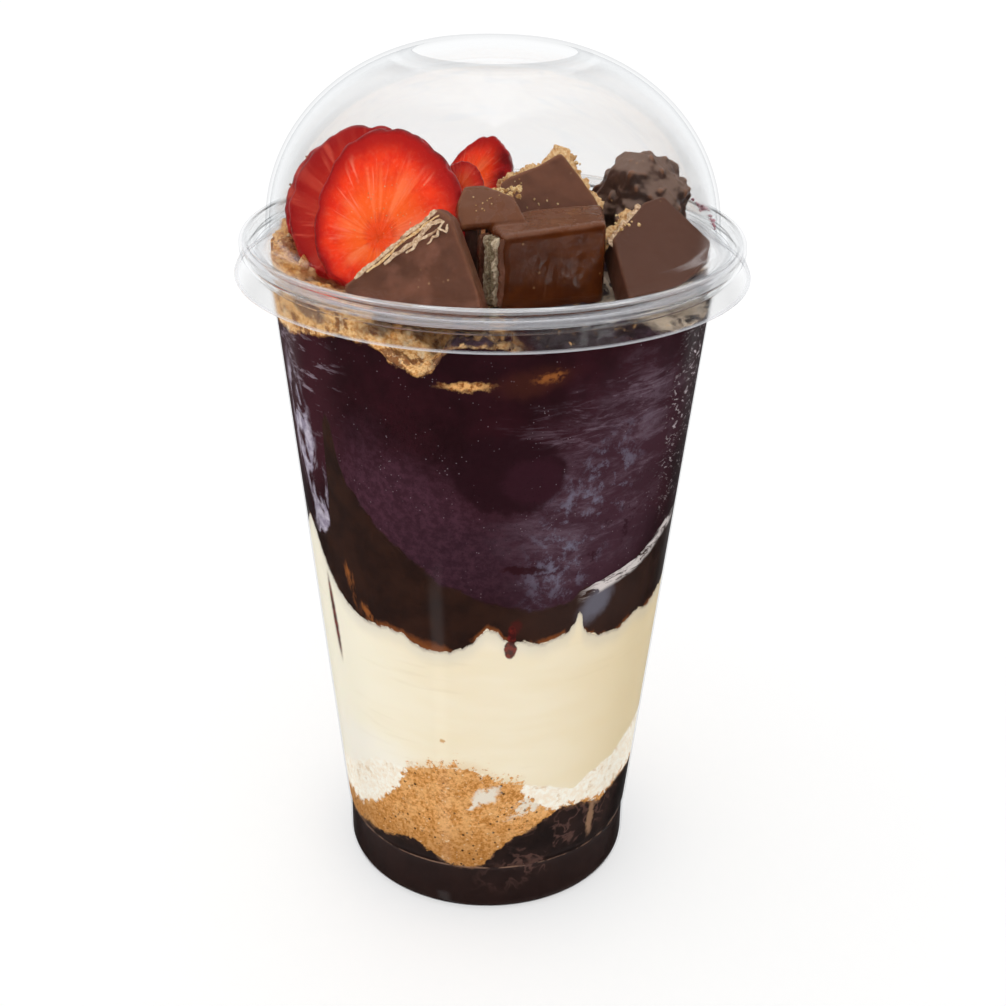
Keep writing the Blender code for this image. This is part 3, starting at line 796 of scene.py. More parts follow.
def bed_look():
    """The bed of the toppings: crumbs at the left and back; dark and smeared at the front and right, the
    dark partly painted shade.
    """
    look, kit, shader = new_look("crumb_bed", 0.7, Specular_IOR_Level=0.2)
    place = kit.place()
    grain = kit.noise(place, 0.7, 5.0, 0.7)
    tint = kit.mix(kit.ramp(grain, 0.36, 0.62), "cc8640", "ffd294")
    lumps = kit.spots(0.53, 0.6, 3.0, 5.0, 0.65, shift=(0.02, 0.03, 0.01))
    tint = kit.over(tint, "7a4424", lumps, 0.85)
    cream = kit.spots(0.56, 0.64, 4.0, 5.0, 0.65, shift=(0.05, 0.0, 0.04))
    tint = kit.over(tint, "f6dfb8", cream, 0.7)
    pressed = kit.patch(kit.wall(4.0, 2.5), -50.0, 137.6, 7.0, 1.6, -0.1, 0.35)
    tint = kit.over(tint, "7f6458", pressed, 0.8)
    smudge = kit.patch(kit.wall(4.0, 2.5), -26.0, 137.6, 7.0, 1.5, 0.1, 0.4)
    tint = kit.over(tint, "4e2f26", smudge, 0.75)
    turn = kit.wall(22.0, 6.0)[0]
    # Painted shade, in part: the front and right of the bed are a dark purple, for the shade under the
    # toppings as well as smears of the filling.
    dark = kit.mix(kit.spots(0.4, 0.6, 3.5, 4.0), "2b1418", "46303a")
    grey = kit.patch(kit.wall(5.0, 4.0), 20.0, 137.5, 13.0, 3.5, 0.0, 0.3)
    dark = kit.over(dark, "4c4244", grey, 0.8)
    red = kit.patch(kit.wall(4.0, 3.0), 7.0, 137.0, 4.0, 3.0, 0.0, 0.4)
    dark = kit.over(dark, "3d0f14", red, 0.8)
    smear = kit.spots(0.43, 0.51, 3.5, 5.0, 0.65, 0.8, turn=(0.0, -30.0, 0.0), scale=(0.5, 0.5, 1.4))
    beige = kit.times(kit.patch(kit.wall(5.0, 4.0), 64.0, 136.0, 17.0, 5.5, 0.0, 0.3), smear)
    dark = kit.mix(beige, dark, "f2dcc2")
    front = kit.band(turn, -17.0, -9.0, 90.0, 100.0)
    strewn = kit.times(kit.patch(kit.wall(5.0, 2.0), -3.0, 135.0, 9.0, 1.4, 0.06, 0.4),
                       kit.spots(0.4, 0.5, 2.2, 5.0, 0.7))
    front = kit.times(front, kit.rest(kit.times(strewn, 0.8)))
    few = kit.spots(0.66, 0.6, 1.7, 5.0, 0.7, shift=(0.04, 0.0, 0.02))
    tint = kit.over(tint, dark, front, few)
    shown = over_edge(kit, kit.attribute("above_bottom"), edge_shift(kit, 0.9, 2.6), 0.5)
    lower = kit.most(shown, kit.ramp(kit.sum("ABSOLUTE", kit.plus(turn, 12.0)), 100.0, 110.0))
    kit.paint(shader, kit.mix(lower, kit.group(ACAI)[0], tint), kit.bump(grain, 0.25))
    return look


def crumb_look():
    look, kit, shader = new_look("crumb", 0.75, Specular_IOR_Level=0.25)
    place = kit.place()
    grain = kit.noise(place, 0.6, 4.0, 0.65)
    lumps = kit.noise(place, 3.5, 3.0)
    tint = kit.mix(kit.ramp(grain, 0.36, 0.62), "c8823c", "f4bc74")
    tint = kit.over(tint, "ffdca6", kit.ramp(lumps, 0.5, 0.7), 0.6)
    dark = kit.spots(0.6, 0.7, 1.6, 3.0, shift=(0.02, 0.03, 0.01))
    tint = kit.over(tint, "6a3a1a", dark, 0.6)
    kit.paint(shader, tint, kit.bump(grain, 0.25))
    return look


def chocolate_look(name, dark, light, bloom_and_top_light, roughness=0.34, melt=0.0):
    """Chocolate: deeper where it is melted, paler on top partly from dusting and partly as painted light
    from above, with painted highlights on its edges, scrapes and small pale specks.
    """
    look, kit, shader = new_look(name, roughness, Specular_IOR_Level=0.4)
    place = kit.place()
    cloud = kit.spots(0.36, 0.66, 5.0, 5.0, 0.6)
    tint = kit.mix(cloud, dark, light)
    deep = kit.spots(0.46, 0.6, 11.0, 3.0, shift=(0.03, 0.01, 0.0))
    tint = kit.over(tint, dark, deep, 0.7)
    # Painted light, in part: faces that look up are paler, partly a dusty coating and partly light falling
    # from above.
    facing = kit.apart(kit.node("ShaderNodeTexCoord").outputs["Normal"])
    wave = kit.less(kit.noise(place, 4.0, 4.0), 0.5)
    upward = kit.ramp(kit.plus(facing[2], kit.times(wave, 0.5)), 0.25, 0.75)
    tint = kit.mix(upward, tint, bloom_and_top_light)
    # Painted highlights: sharp edges are lighter.
    edge_highlight = kit.ramp(kit.node("ShaderNodeNewGeometry").outputs["Pointiness"], 0.515, 0.56)
    tint = kit.over(tint, "a8704e", edge_highlight, 0.4)
    scrape = kit.noise(kit.moved(place, turn=(20.0, 35.0, 10.0), scale=(1.0, 1.0, 0.12)), 0.9, 4.0, 0.6)
    tint = kit.over(tint, bloom_and_top_light, kit.ramp(scrape, 0.6, 0.72), 0.3)
    dots = kit.ramp(kit.cells(place, 1.7), 0.14, 0.08)
    dots = kit.times(dots, kit.spots(0.54, 0.6, 4.0, 2.0, shift=(0.01, 0.02, 0.0)))
    tint = kit.over(tint, "b98d62", dots, 0.7)
    kit.feed(shader.inputs["Base Color"], tint)
    sheen = kit.ramp(kit.noise(place, 3.2, 3.0), 0.4, 0.62, roughness * (1.0 - melt), roughness + 0.1)
    kit.feed(shader.inputs["Roughness"], kit.plus(sheen, kit.times(upward, 0.15)))
    waves = kit.bump(kit.noise(place, 11.0 if melt else 4.5, 1.0), 0.3 if melt else 0.15)
    kit.feed(shader.inputs["Normal"], kit.bump(scrape, 0.03, waves))
    return look


def wafer_look(name="wafer", dark="a9804f", light="e6cb9b", burnt="7a5230"):
    look, kit, shader = new_look(name, 0.8, Specular_IOR_Level=0.15)
    place = kit.place()
    grain = kit.noise(place, 0.6, 5.0, 0.7)
    tint = kit.mix(kit.ramp(grain, 0.36, 0.62), dark, light)
    toasted = kit.spots(0.54, 0.64, 1.8, 4.0, 0.65, shift=(0.02, 0.0, 0.0))
    tint = kit.over(tint, burnt, toasted, 0.65)
    kit.paint(shader, tint, kit.bump(grain, 0.2))
    return look


def strawberry_look():
    """Cut fruit.  The map's U and V run over the slice, 1 at its outline; skin is 1 on the peel."""
    look, kit, shader = new_look("strawberry", 0.3, Specular_IOR_Level=0.25)
    flat = kit.node("ShaderNodeUVMap", uv_map="slice").outputs[0]
    parts = kit.apart(flat)
    u, v = parts[0], parts[1]
    turn = kit.sum("ARCTAN2", v, u)
    away = kit.sum("SQRT", kit.plus(kit.times(u, u), kit.times(v, v)))
    place = kit.place()
    wave = kit.times(kit.less(kit.noise(place, 4.0, 4.0), 0.5), 0.16)
    near = kit.plus(away, wave)
    rays = []
    for pitch, seed in ((3.6, 0.0), (10.0, 3.7)):
        spread = kit.node("ShaderNodeCombineXYZ")
        kit.feed(spread.inputs[0], kit.sum("COSINE", turn))
        kit.feed(spread.inputs[1], kit.sum("SINE", turn))
        kit.feed(spread.inputs[2], kit.plus(kit.times(away, 0.16), seed))
        rayed = kit.node("ShaderNodeTexNoise")
        kit.feed(rayed.inputs["Vector"], spread.outputs[0])
        rayed.inputs["Scale"].default_value = pitch
        rayed.inputs["Detail"].default_value = 3.0
        rays.append(rayed.outputs["Fac"])
    broad = kit.ramp(rays[0], 0.5, 0.64)
    narrow = kit.ramp(rays[1], 0.54, 0.72)
    flesh = kit.mix(kit.spots(0.35, 0.65, 2.5, 4.0), "e42603", "f23606")
    inner = kit.ramp(near, 0.72, 0.32)
    flesh = kit.over(flesh, "ff6018", inner, 0.9)
    flesh = kit.over(flesh, "ff7c48", broad, kit.ramp(near, 0.8, 0.45), 0.65)
    rosy = kit.times(kit.ramp(u, 0.05, 0.4), kit.ramp(near, 0.8, 0.45))
    flesh = kit.over(flesh, "f58a70", rosy, kit.ramp(v, 0.25, -0.15), 0.6)
    span = kit.band(near, 0.3, 0.48, 0.74, 0.95)
    upper = kit.ramp(v, -0.35, 0.25, 0.3, 1.0)
    flesh = kit.over(flesh, "ff9072", narrow, span, upper, 0.55)
    heart = kit.ramp(near, 0.24, 0.14)
    flesh = kit.over(flesh, "f4400f", heart, 0.75)
    ring = kit.band(near, 0.14, 0.18, 0.21, 0.27)
    flesh = kit.over(flesh, "c42408", ring, kit.ramp(rays[1], 0.4, 0.6), 0.35)
    fibres = kit.spots(0.5, 0.7, 0.7, 3.0)
    flesh = kit.over(flesh, "ffb894", fibres, 0.08)
    outer = kit.ramp(kit.plus(away, kit.times(wave, 0.5), kit.times(v, 0.06)), 0.7, 0.99)
    flesh = kit.over(flesh, "a80804", outer, 0.95)
    rim = kit.ramp(away, 0.955, 1.0)
    flesh = kit.over(flesh, "8c0606", rim, 0.5)
    deep = kit.times(kit.attribute("deep"), kit.ramp(u, 0.2, -0.8, 0.6, 1.5))
    flesh = kit.over(flesh, "960c0c", deep, 0.85)
    flesh = kit.over(flesh, "d4503c", deep, kit.most(narrow, kit.times(broad, 0.5)), 0.75)
    peel = kit.mix(kit.spots(0.4, 0.6, 3.0, 3.0), "74090d", "a01011")
    tint = kit.mix(kit.attribute("skin"), flesh, peel)
    kit.feed(shader.inputs["Base Color"], tint)
    # Painted light: the fruit glows faintly in its own colour, for light that passes through it.
    kit.feed(shader.inputs["Emission Color"], tint)
    shader.inputs["Emission Strength"].default_value = 0.24
    threads = kit.bump(rays[1], 0.3)
    kit.feed(shader.inputs["Normal"], kit.bump(kit.noise(place, 0.8, 3.0), 0.1, threads))
    return look


def splash_look():
    look, kit, shader = new_look("thin_splash", 0.4)
    cloud = kit.spots(0.4, 0.6, 1.2, 4.0)
    kit.feed(shader.inputs["Base Color"], kit.mix(cloud, "8c3848", "d49aa4"))
    return look


def seed_look():
    look, kit, shader = new_look("seeds", 0.45)
    cloud = kit.spots(0.4, 0.6, 1.0, 3.0)
    kit.feed(shader.inputs["Base Color"], kit.mix(cloud, "8a4a18", "c98a3c"))
    return look


# ---------------------------------------------------------------- cup and lid

def arc(centre, radius, start, end, steps):
    """Points of an arc in a profile, from the angle start to end in degrees."""
    points = []
    for step in range(steps + 1):
        angle = math.radians(start + (end - start) * step / steps)
        points.append((centre[0] + radius * math.cos(angle), centre[1] + radius * math.sin(angle)))
    return points


def turned(profile, outer_height):
    """A shell drawn out from a ring along a profile of (radius, height), top to bottom.

    Its faces look away from the axis at the stated height.
    """
    radius, height = profile[0]
    bpy.ops.mesh.primitive_circle_add(vertices=TURNS, radius=radius * MM, location=(0.0, 0.0, height * MM))
    shell = bpy.context.object
    edit_all(shell)
    for new_radius, new_height in profile[1:]:
        draw_out(new_height - height)
        if new_radius > 0.0:
            share = new_radius / radius
            bpy.ops.transform.resize(value=(share, share, 1.0))
            radius = new_radius
        else:
            bpy.ops.mesh.merge(type="CENTER")
        height = new_height
    bpy.ops.object.mode_set(mode="OBJECT")
    settle(shell)
    outward(shell)
    near = min(shell.data.polygons, key=lambda face: abs(face.center.z - outer_height * MM))
    if near.normal.x * near.center.x + near.normal.y * near.center.y < 0.0:
        edit_all(shell)
        bpy.ops.mesh.flip_normals()
        bpy.ops.object.mode_set(mode="OBJECT")
    return shell


def make_cup(look):
    wall_r, wall_top = WALL_HIGH
    rolled_rim = arc((wall_r + RIM_R, wall_top + RIM_R), RIM_R, -20.0, 180.0, 14)
    step = [(FOOT_R + 0.45, 12.6), (FOOT_R + 0.42, 12.0), (FOOT_R + 0.2, 11.7), (FOOT_R - 0.1, 11.55),
            (FOOT_R - 0.12, 11.3), (FOOT_R, 10.9)]
    foot = arc((FOOT_R - FOOT_ROUND, FOOT_ROUND), FOOT_ROUND, 0.0, -90.0, 6)
    underside = [(28.0, 0.0), (27.2, 0.3), (26.5, 0.8), (20.0, 0.8), (0.0, 0.8)]
    cup = turned(rolled_rim + [WALL_LOW] + step + foot + underside, 70.0)
    modify(cup, "SOLIDIFY", thickness=CUP_WALL * MM, offset=-1.0, use_even_offset=True, use_rim=True)
    smooth(cup, 40.0)
    dress(cup, "clear_cup", look, "clear_plastic", "cup")


def dome_point(step):
    """Point on the dome's outside, step 0 at its foot and 1 at the hole's edge."""
    last = math.acos((HOLE_R / DOME_R) ** (DOME_ROUND / 2.0))
    angle = last * step
    radius = DOME_R * math.cos(angle) ** (2.0 / DOME_ROUND)
    height = DOME_FOOT + (DOME_TOP - DOME_FOOT) * math.sin(angle) ** (2.0 / DOME_RISE)
    return radius, height


def make_lid(look):
    steps = 40
    dome = [dome_point(1.0 - step / steps) for step in range(steps + 1)]
    groove = [(DOME_R + 0.1, 145.7), (DOME_R + 0.3, 144.9), (DOME_R + 0.7, 144.2), (DOME_R + 1.2, 143.8),
              (46.8, 143.5), (47.4, 143.5), (47.9, 143.9)]
    bead = arc((49.1, 143.9), 1.2, 155.0, 0.0, 12) + [(50.3, 142.8)]
    skirt = [(50.1, 142.2), (49.8, 141.8), (49.6, 141.4), (49.8, 140.8), (50.2, 140.2), (50.9, 139.0),
             (51.5, 137.6)]
    lid = turned(dome + groove + bead + skirt, 160.0)
    modify(lid, "SOLIDIFY", thickness=LID_WALL * MM, offset=-1.0, use_even_offset=True, use_rim=True)
    smooth(lid, 40.0)
    dress(lid, "clear_lid", look, "clear_plastic", "lid")


# ---------------------------------------------------------------- layers

def fill_radius(height):
    """Radius of the filling at a height: the cup's outside, less the depth that it is sunk."""
    slope = (WALL_HIGH[0] - WALL_LOW[0]) / (WALL_HIGH[1] - WALL_LOW[1])
    wall = WALL_LOW[0] + slope * (height - WALL_LOW[1])
    if height > 12.4:
        return wall - SUNK
    if height > 1.8:
        return FOOT_R + 0.35 * max(0.0, height - 10.9) / 1.5 - SUNK
    drop = min(1.8 - height, FOOT_ROUND - SUNK)
    return FOOT_R - FOOT_ROUND + math.sqrt((FOOT_ROUND - SUNK) ** 2 - drop ** 2)


def along(points, azimuth):
    """The height at an azimuth on an eased line through points of (azimuth, height)."""
    before = points[-1][0] - 360.0, points[-1][1]
    for point in points:
        if azimuth <= point[0]:
            share = (azimuth - before[0]) / (point[0] - before[0])
            share = 0.5 * share + 0.5 * share * share * (3.0 - 2.0 * share)
            return before[1] + (point[1] - before[1]) * share
        before = point
    share = (azimuth - before[0]) / (points[0][0] + 360.0 - before[0])
    return before[1] + (points[0][1] - before[1]) * share


# Edges between the layers against the wall: (azimuth, height), from the back left round to the back right.
BASE_EDGE = ((-150, 12.5), (-120, 14), (-95, 11.5), (-74, 10.6), (-62, 12.6), (-53, 14.1), (-42, 14.8),
             (-33, 16.6), (-29, 17.1), (-23, 14.8), (-15, 12.2), (-9, 11.6), (-2, 12.4), (4.4, 17),
             (10.7, 20.4), (15.6, 21.7), (23, 24.3), (29, 25.9), (37, 25.4), (44, 24), (49.3, 23),
             (53, 24.7), (66, 25), (90, 24), (120, 19), (150, 15))
CRUMBLE_EDGE = ((-150, 24), (-110, 18), (-80, 17), (-60, 18.6), (-52, 20.6), (-47, 22.4), (-43, 24.6),
                (-39, 26.8), (-35, 29.5), (-31, 33), (-28, 35.6), (-20, 37.8), (-12.8, 38.7), (-5, 38.9),
                (0, 36.6), (5, 34.8), (10, 34.6), (14, 31.5), (18, 29), (23, 26), (31, 26.2), (42, 24.4),
                (60, 25.2), (100, 24.6), (140, 30))
MILK_EDGE = ((-150, 26), (-110, 22), (-80, 25), (-62, 28.2), (-52, 32), (-43, 35.4), (-36, 35.9),
             (-29, 36.2), (-20, 38), (-12.8, 38.9), (-5, 39), (0, 37), (5, 35.2), (10, 35.2), (14, 34.4),
             (18, 33.6), (26, 32.2), (33, 30.4), (40, 32.9), (51, 34.2), (60, 36.6), (75, 38), (100, 34),
             (140, 32))
CREAM_EDGE = ((-150, 74), (-110, 76), (-85, 80), (-70, 88), (-66, 86), (-62, 82), (-57, 77.6), (-52, 75),
              (-49, 73.4), (-44, 71.8), (-38.6, 71.4), (-32, 71.9), (-27, 71.5), (-24, 70), (-20, 69),
              (-16.6, 68.8), (-12, 69), (-8, 70.2), (-5, 71.6), (-3, 73.2), (-0.5, 75), (2.4, 74.6),
              (4.6, 72.6), (7, 71.6), (10, 72), (13.4, 71.2), (17.3, 70.9), (20.2, 71.8), (24.3, 72.6),
              (26.6, 74.6), (27.8, 77.4), (28.8, 76.5), (29.9, 72.6), (31.8, 71), (36, 69.8), (43.8, 69.3),
              (48.1, 70.3), (52, 71.4), (60.8, 70.2), (70, 71.4), (90, 74), (120, 72))
GANACHE_EDGE = ((-150, 86), (-110, 90), (-80, 92), (-70, 88.2), (-62, 86.5), (-58, 87), (-53.5, 90),
                (-51.8, 97), (-51.2, 106), (-50.4, 114), (-48.6, 117), (-47, 115), (-46.2, 110),
                (-45, 106.5), (-42.5, 102.2), (-38, 99.6), (-33, 95.4), (-27.6, 92.5), (-22.9, 89.6),
                (-17.9, 87.2), (-13.4, 84.6), (-8.3, 83.8), (-3, 82.4), (0, 81.2), (6.2, 80), (12, 79.5),
                (19.1, 79), (24, 79.8), (28, 82), (33, 83.3), (40, 83.9), (47.7, 85.2), (54.6, 86.6),
                (60, 88.2), (67, 89.4), (80, 90), (110, 86))
ACAI_EDGE = ((-150, 135.4), (-100, 131), (-73, 129.7), (-61, 130.3), (-55, 131.4), (-46, 133.2),
             (-37, 134.5), (-30, 134), (-27, 133.4), (-25, 131.8), (-23, 130.7), (-20, 130), (-17, 130),
             (-14.5, 130.8), (-12.6, 132.6), (-11.4, 134.4), (-9, 135.4), (-5, 135.8), (2, 135.5),
             (11, 134.8), (26, 135.2), (42, 134.8), (52.5, 133.8), (60, 133.2), (69, 132.3), (76, 133.4),
             (110, 134.6))


@functools.cache
def at_wall(edge, seed, size, pitch, azimuth):
    return along(edge, azimuth) + rough(azimuth, seed, size, pitch)


def cup_floor(_azimuth, reach):
    """The cup's floor has a shallow recess under it."""
    return 0.35 if reach > 0.84 else 1.15


def upper_edge(points, noise_of, middle, floor=None, least=0.0):
    """The height of a layer's top over the azimuth and the reach, at least so far above another one."""
    def top(azimuth, reach):
        height = towards_middle(at_wall(points, *noise_of, azimuth), middle, reach)
        return height if floor is None else max(height, floor(azimuth, reach) + least)
    return top


# Points, noise (seed, size, pitch) and the height in the cup's middle.
base_top = upper_edge(BASE_EDGE, (1.0, 0.35, 5.0), 15.0)
crumble_top = upper_edge(CRUMBLE_EDGE, (2.0, 0.35, 5.0), 27.0, base_top, 0.5)
milk_top = upper_edge(MILK_EDGE, (3.0, 0.35, 5.0), 30.0, crumble_top, 0.15)
cream_top = upper_edge(CREAM_EDGE, (4.0, 0.2, 4.0), 72.0)
ganache_top = upper_edge(GANACHE_EDGE, (5.0, 0.4, 5.0), 84.0, cream_top, 0.15)
acai_top = upper_edge(ACAI_EDGE, (6.0, 0.4, 4.0), 133.6)


def crumb_top(azimuth, reach):
    """The crumbs are a low mound in the middle, and are heaped against the wall on the left."""
    front = max(0.0, min(1.0, (azimuth + 24.0) / 12.0)) * max(0.0, min(1.0, (88.0 - azimuth) / 16.0))
    mound = (1.2 + 6.0 * (1.0 - reach * reach)) * (1.0 - 0.75 * front)
    at_edge = max(0.0, min(1.0, (reach - 0.8 - 0.05 * math.sin(azimuth * 0.4)) / 0.16))
    heap = 11.5 + 1.6 * noise.noise(Vector((azimuth * 0.12, 3.0, 0.0)))
    return acai_top(azimuth, reach) + mound + heap * hill(azimuth, -88, 46) * at_edge


def drum(columns, rows, rings):
    """A closed drum of unit radius and height, its side cut in rows and its ends in rings."""
    bpy.ops.mesh.primitive_cylinder_add(vertices=columns, radius=1.0, depth=1.0, end_fill_type="TRIFAN",
                                        location=(0.0, 0.0, 0.5))
    part = bpy.context.object
    settle(part)
    bpy.ops.object.mode_set(mode="EDIT")
    pick_edges(part, lambda a, b: abs(a.z - b.z) > 0.5)
    bpy.ops.mesh.subdivide(number_cuts=rows - 1)
    pick_edges(part, lambda a, b: min(a.xy.length, b.xy.length) < 0.001)
    bpy.ops.mesh.subdivide(number_cuts=rings - 1)
    bpy.ops.object.mode_set(mode="OBJECT")
    return part


def make_layer(name, look, low, high, rows, rings=4, columns=COLUMNS):
    """A layer between two height functions, with its depths below and above them kept."""
    part = drum(columns, rows, rings)
    mesh = part.data
    below = mesh.attributes.new("below_top", "FLOAT", "POINT")
    above = mesh.attributes.new("above_bottom", "FLOAT", "POINT")
    milk = mesh.attributes.new("milk_depth", "FLOAT", "POINT")
    for index, vertex in enumerate(mesh.vertices):
        reach = math.hypot(vertex.co.x, vertex.co.y)
        azimuth = azimuth_of(vertex.co)
        bottom_z = low(azimuth, reach)
        top_z = high(azimuth, reach)
        height = bottom_z + (top_z - bottom_z) * vertex.co.z
        below.data[index].value = top_z - height
        above.data[index].value = height - bottom_z
        milk.data[index].value = milk_top(azimuth, 1.0) - crumble_top(azimuth, 1.0)
        vertex.co = around(reach * fill_radius(height), azimuth, height)
    smooth(part, 60.0)
    dress(part, name + "_fill", look, name, name)


def make_layers():
    make_layer("chocolate_base", base_look(), cup_floor, base_top, 26)
    make_layer("peanut_crumble", crumble_look(), base_top, crumble_top, 12)
    make_layer("milk_layer", milk_look(), crumble_top, milk_top, 8)
    make_layer("cream", cream_look(), milk_top, cream_top, 24)
    make_layer("ganache", ganache_look(), cream_top, ganache_top, 14)
    make_layer("acai", acai_look(), ganache_top, acai_top, 24, rings=12)


# ---------------------------------------------------------------- crumbs

def make_crumb_bed():
    """The bed of crumbs, with lumps of their size all over."""
    part = drum(360, 8, 60)
    above = part.data.attributes.new("above_bottom", "FLOAT", "POINT")
    for index, vertex in enumerate(part.data.vertices):
        reach = math.hypot(vertex.co.x, vertex.co.y)
        azimuth = azimuth_of(vertex.co)
        bottom_z = acai_top(azimuth, reach)
        top_z = crumb_top(azimuth, reach)
        height = bottom_z + (top_z - bottom_z) * vertex.co.z
        above.data[index].value = height - bottom_z
        point = around(reach * min(fill_radius(height), 44.1), azimuth, height)
        if vertex.co.z > 0.99:
            point.z += 1.3 * MM * noise.fractal(point * 420.0, 0.7, 2.1, 4)
        vertex.co = point
    smooth(part, 60.0)
    dress(part, "crumb_bed_top", bed_look(), "crumb", "crumb_topping")


def one_crumb(size, draw):
    """One crumb: a small ball pressed out of shape."""
    bpy.ops.mesh.primitive_ico_sphere_add(subdivisions=2, radius=size * MM)
    crumb = bpy.context.object
    shift = Vector((draw.uniform(0, 50), draw.uniform(0, 50), draw.uniform(0, 50)))
    flat = draw.uniform(0.55, 0.9)
    for vertex in crumb.data.vertices:
        unit = vertex.co.normalized()
        lump = 1.0 + 0.55 * noise.noise(unit * 1.6 + shift)
        vertex.co = Vector((unit.x, unit.y * flat, unit.z * 0.8)) * size * lump * MM
    return crumb


def scatter(name, kinds, places, draw, look, slot):
    """Copies of a few shapes at many places, joined into one piece."""
    combined = bmesh.new()
    for point, size in places:
        source = draw.choice(kinds)
        angle = draw.uniform(0, 6.28)
        axis = Vector((draw.uniform(-1, 1), draw.uniform(-1, 1), 1.0))
        move = Matrix.Translation(point) @ Matrix.Rotation(angle, 4, axis) @ Matrix.Scale(size, 4)
        start = len(combined.verts)
        combined.from_mesh(source.data)
        combined.verts.ensure_lookup_table()
        bmesh.ops.transform(combined, matrix=move, verts=combined.verts[start:])
    mesh = bpy.data.meshes.new(name)
    combined.to_mesh(mesh)
    combined.free()
    part = bpy.data.objects.new(name, mesh)
    bpy.context.scene.collection.objects.link(part)
    smooth(part, 50.0)
    dress(part, name, look, slot)


def make_crumbs(kinds, draw, look):
    places = []
    for _ in range(1100):
        azimuth = draw.uniform(-180.0, 180.0)
        left = math.exp(-((azimuth + 85.0) / 42.0) ** 2)
        if draw.random() > left:
            continue
        reach = 1.0 - 0.45 * draw.random() ** 1.6
        size = draw.uniform(0.5, 1.1) + 1.3 * left * draw.random() ** 2
        height = crumb_top(azimuth, reach) + draw.uniform(-0.3, 0.5) * size
        places.append((around(min(reach * 43.4, 43.9 - size), azimuth, height), size))
    scatter("crumbs", kinds, places, draw, look, "crumb")


# ---------------------------------------------------------------- toppings

def face_frame(place, turn, lean):
    """A face's frame: X to its right, Y up it, Z out of it, turned to +X and leaning back."""
    spin = Matrix.Rotation(math.radians(turn), 4, "Z")
    tip = Matrix.Rotation(math.radians(90.0 - lean), 4, "X")
    return Matrix.Translation(Vector(place) * MM) @ spin @ tip


def cut_flat(part, height):
    """Cut the piece flat at a height, and close the cut."""
    edit_all(part)
    bpy.ops.mesh.bisect(plane_co=(0.0, 0.0, height * MM), plane_no=(0.0, 0.0, -1.0), clear_outer=True,
                        use_fill=True)
    bpy.ops.object.mode_set(mode="OBJECT")


def fruit_slice(name, size, thickness, frame, look, node, squash=0.0, shear=0.0, phase=0.0, deep=0.0,
                curl=0.0, heart=(0.0, 0.0)):
    """A slice of fruit: a cut face with fibres, and peel with dimples round its edge.

    A deep slice is a darker red.  With a curl, the right part of the face rounds away as peel.  The
    heart is where its fibres start.
    """
    part = drum(144, 8, 24)
    mesh = part.data
    width, height = size
    skin = mesh.attributes.new("skin", "FLOAT", "POINT")
    depths = mesh.attributes.new("deep", "FLOAT", "POINT")
    spots = []
    for index, vertex in enumerate(mesh.vertices):
        reach = math.hypot(vertex.co.x, vertex.co.y)
        angle = math.atan2(vertex.co.y, vertex.co.x)
        depth = vertex.co.z - 0.5
        edge = 1.0 + 0.035 * math.cos(3.0 * angle + 0.6) + squash * math.cos(2.0 * angle - 0.9)
        ruffle = 0.02 * abs(math.sin(9.0 * angle + phase))
        ruffle += 0.035 * noise.noise(Vector((angle * 2.5, phase, 1.0)))
        edge += ruffle
        side = abs(depth) > 0.499
        crown = 1.0 - 0.07 * (abs(depth) * 2.0) ** 4
        reach_now = reach * edge * (crown if not side else 1.0 - 0.07 * reach ** 8)
        dent = 0.0
        if reach > 0.99:
            row = math.pi if depth > 0.0 else 0.0
            dent = 0.03 * max(0.0, math.cos(SEEDS_ROUND * angle + phase + row)) ** 3
            dent *= 1.0 - (abs(depth) * 2.0) ** 3
        x = math.cos(angle) * (reach_now - dent) * width
        y = math.sin(angle) * (reach_now - dent) * height
        swell = 0.5 - 0.06 * noise.noise(Vector((x * 0.35, y * 0.35, phase)))
        z = depth * 2.0 * swell * thickness - 0.5 * thickness
        fibre = noise.noise(Vector((math.cos(angle) * 9.0, math.sin(angle) * 9.0, reach * 2.0)))
        z += 0.55 * fibre * reach * (1.0 - reach) - 0.35 * math.exp(-((reach / 0.16) ** 2))
        peeled = 1.0 if reach > 0.985 and abs(depth) < 0.47 else 0.0
        if curl:
            bend = max(0.0, (math.cos(angle - 0.25) * reach - 0.2) / 0.8)
            z -= curl * bend ** 1.6
            ragged = 0.08 * noise.noise(Vector((x * 0.4, y * 0.4, 2.0)))
            peeled = max(peeled, min(1.0, max(0.0, (bend + ragged - 0.42) / 0.3)))
        skin.data[index].value = peeled
        depths.data[index].value = deep
        spots.append((math.cos(angle) * reach, math.sin(angle) * reach))
        x += heart[0] * (1.0 - reach)
        y += heart[1] * (1.0 - reach)
        vertex.co = frame @ (Vector((x + shear * y, y, z)) * MM)
    layer = mesh.uv_layers.new(name="slice")
    for loop in mesh.loops:
        layer.data[loop.index].uv = spots[loop.vertex_index]
    cut_flat(part, BED_Z)
    smooth(part, 60.0)
    dress(part, name, look, "strawberry", *((node,) if node else ()))


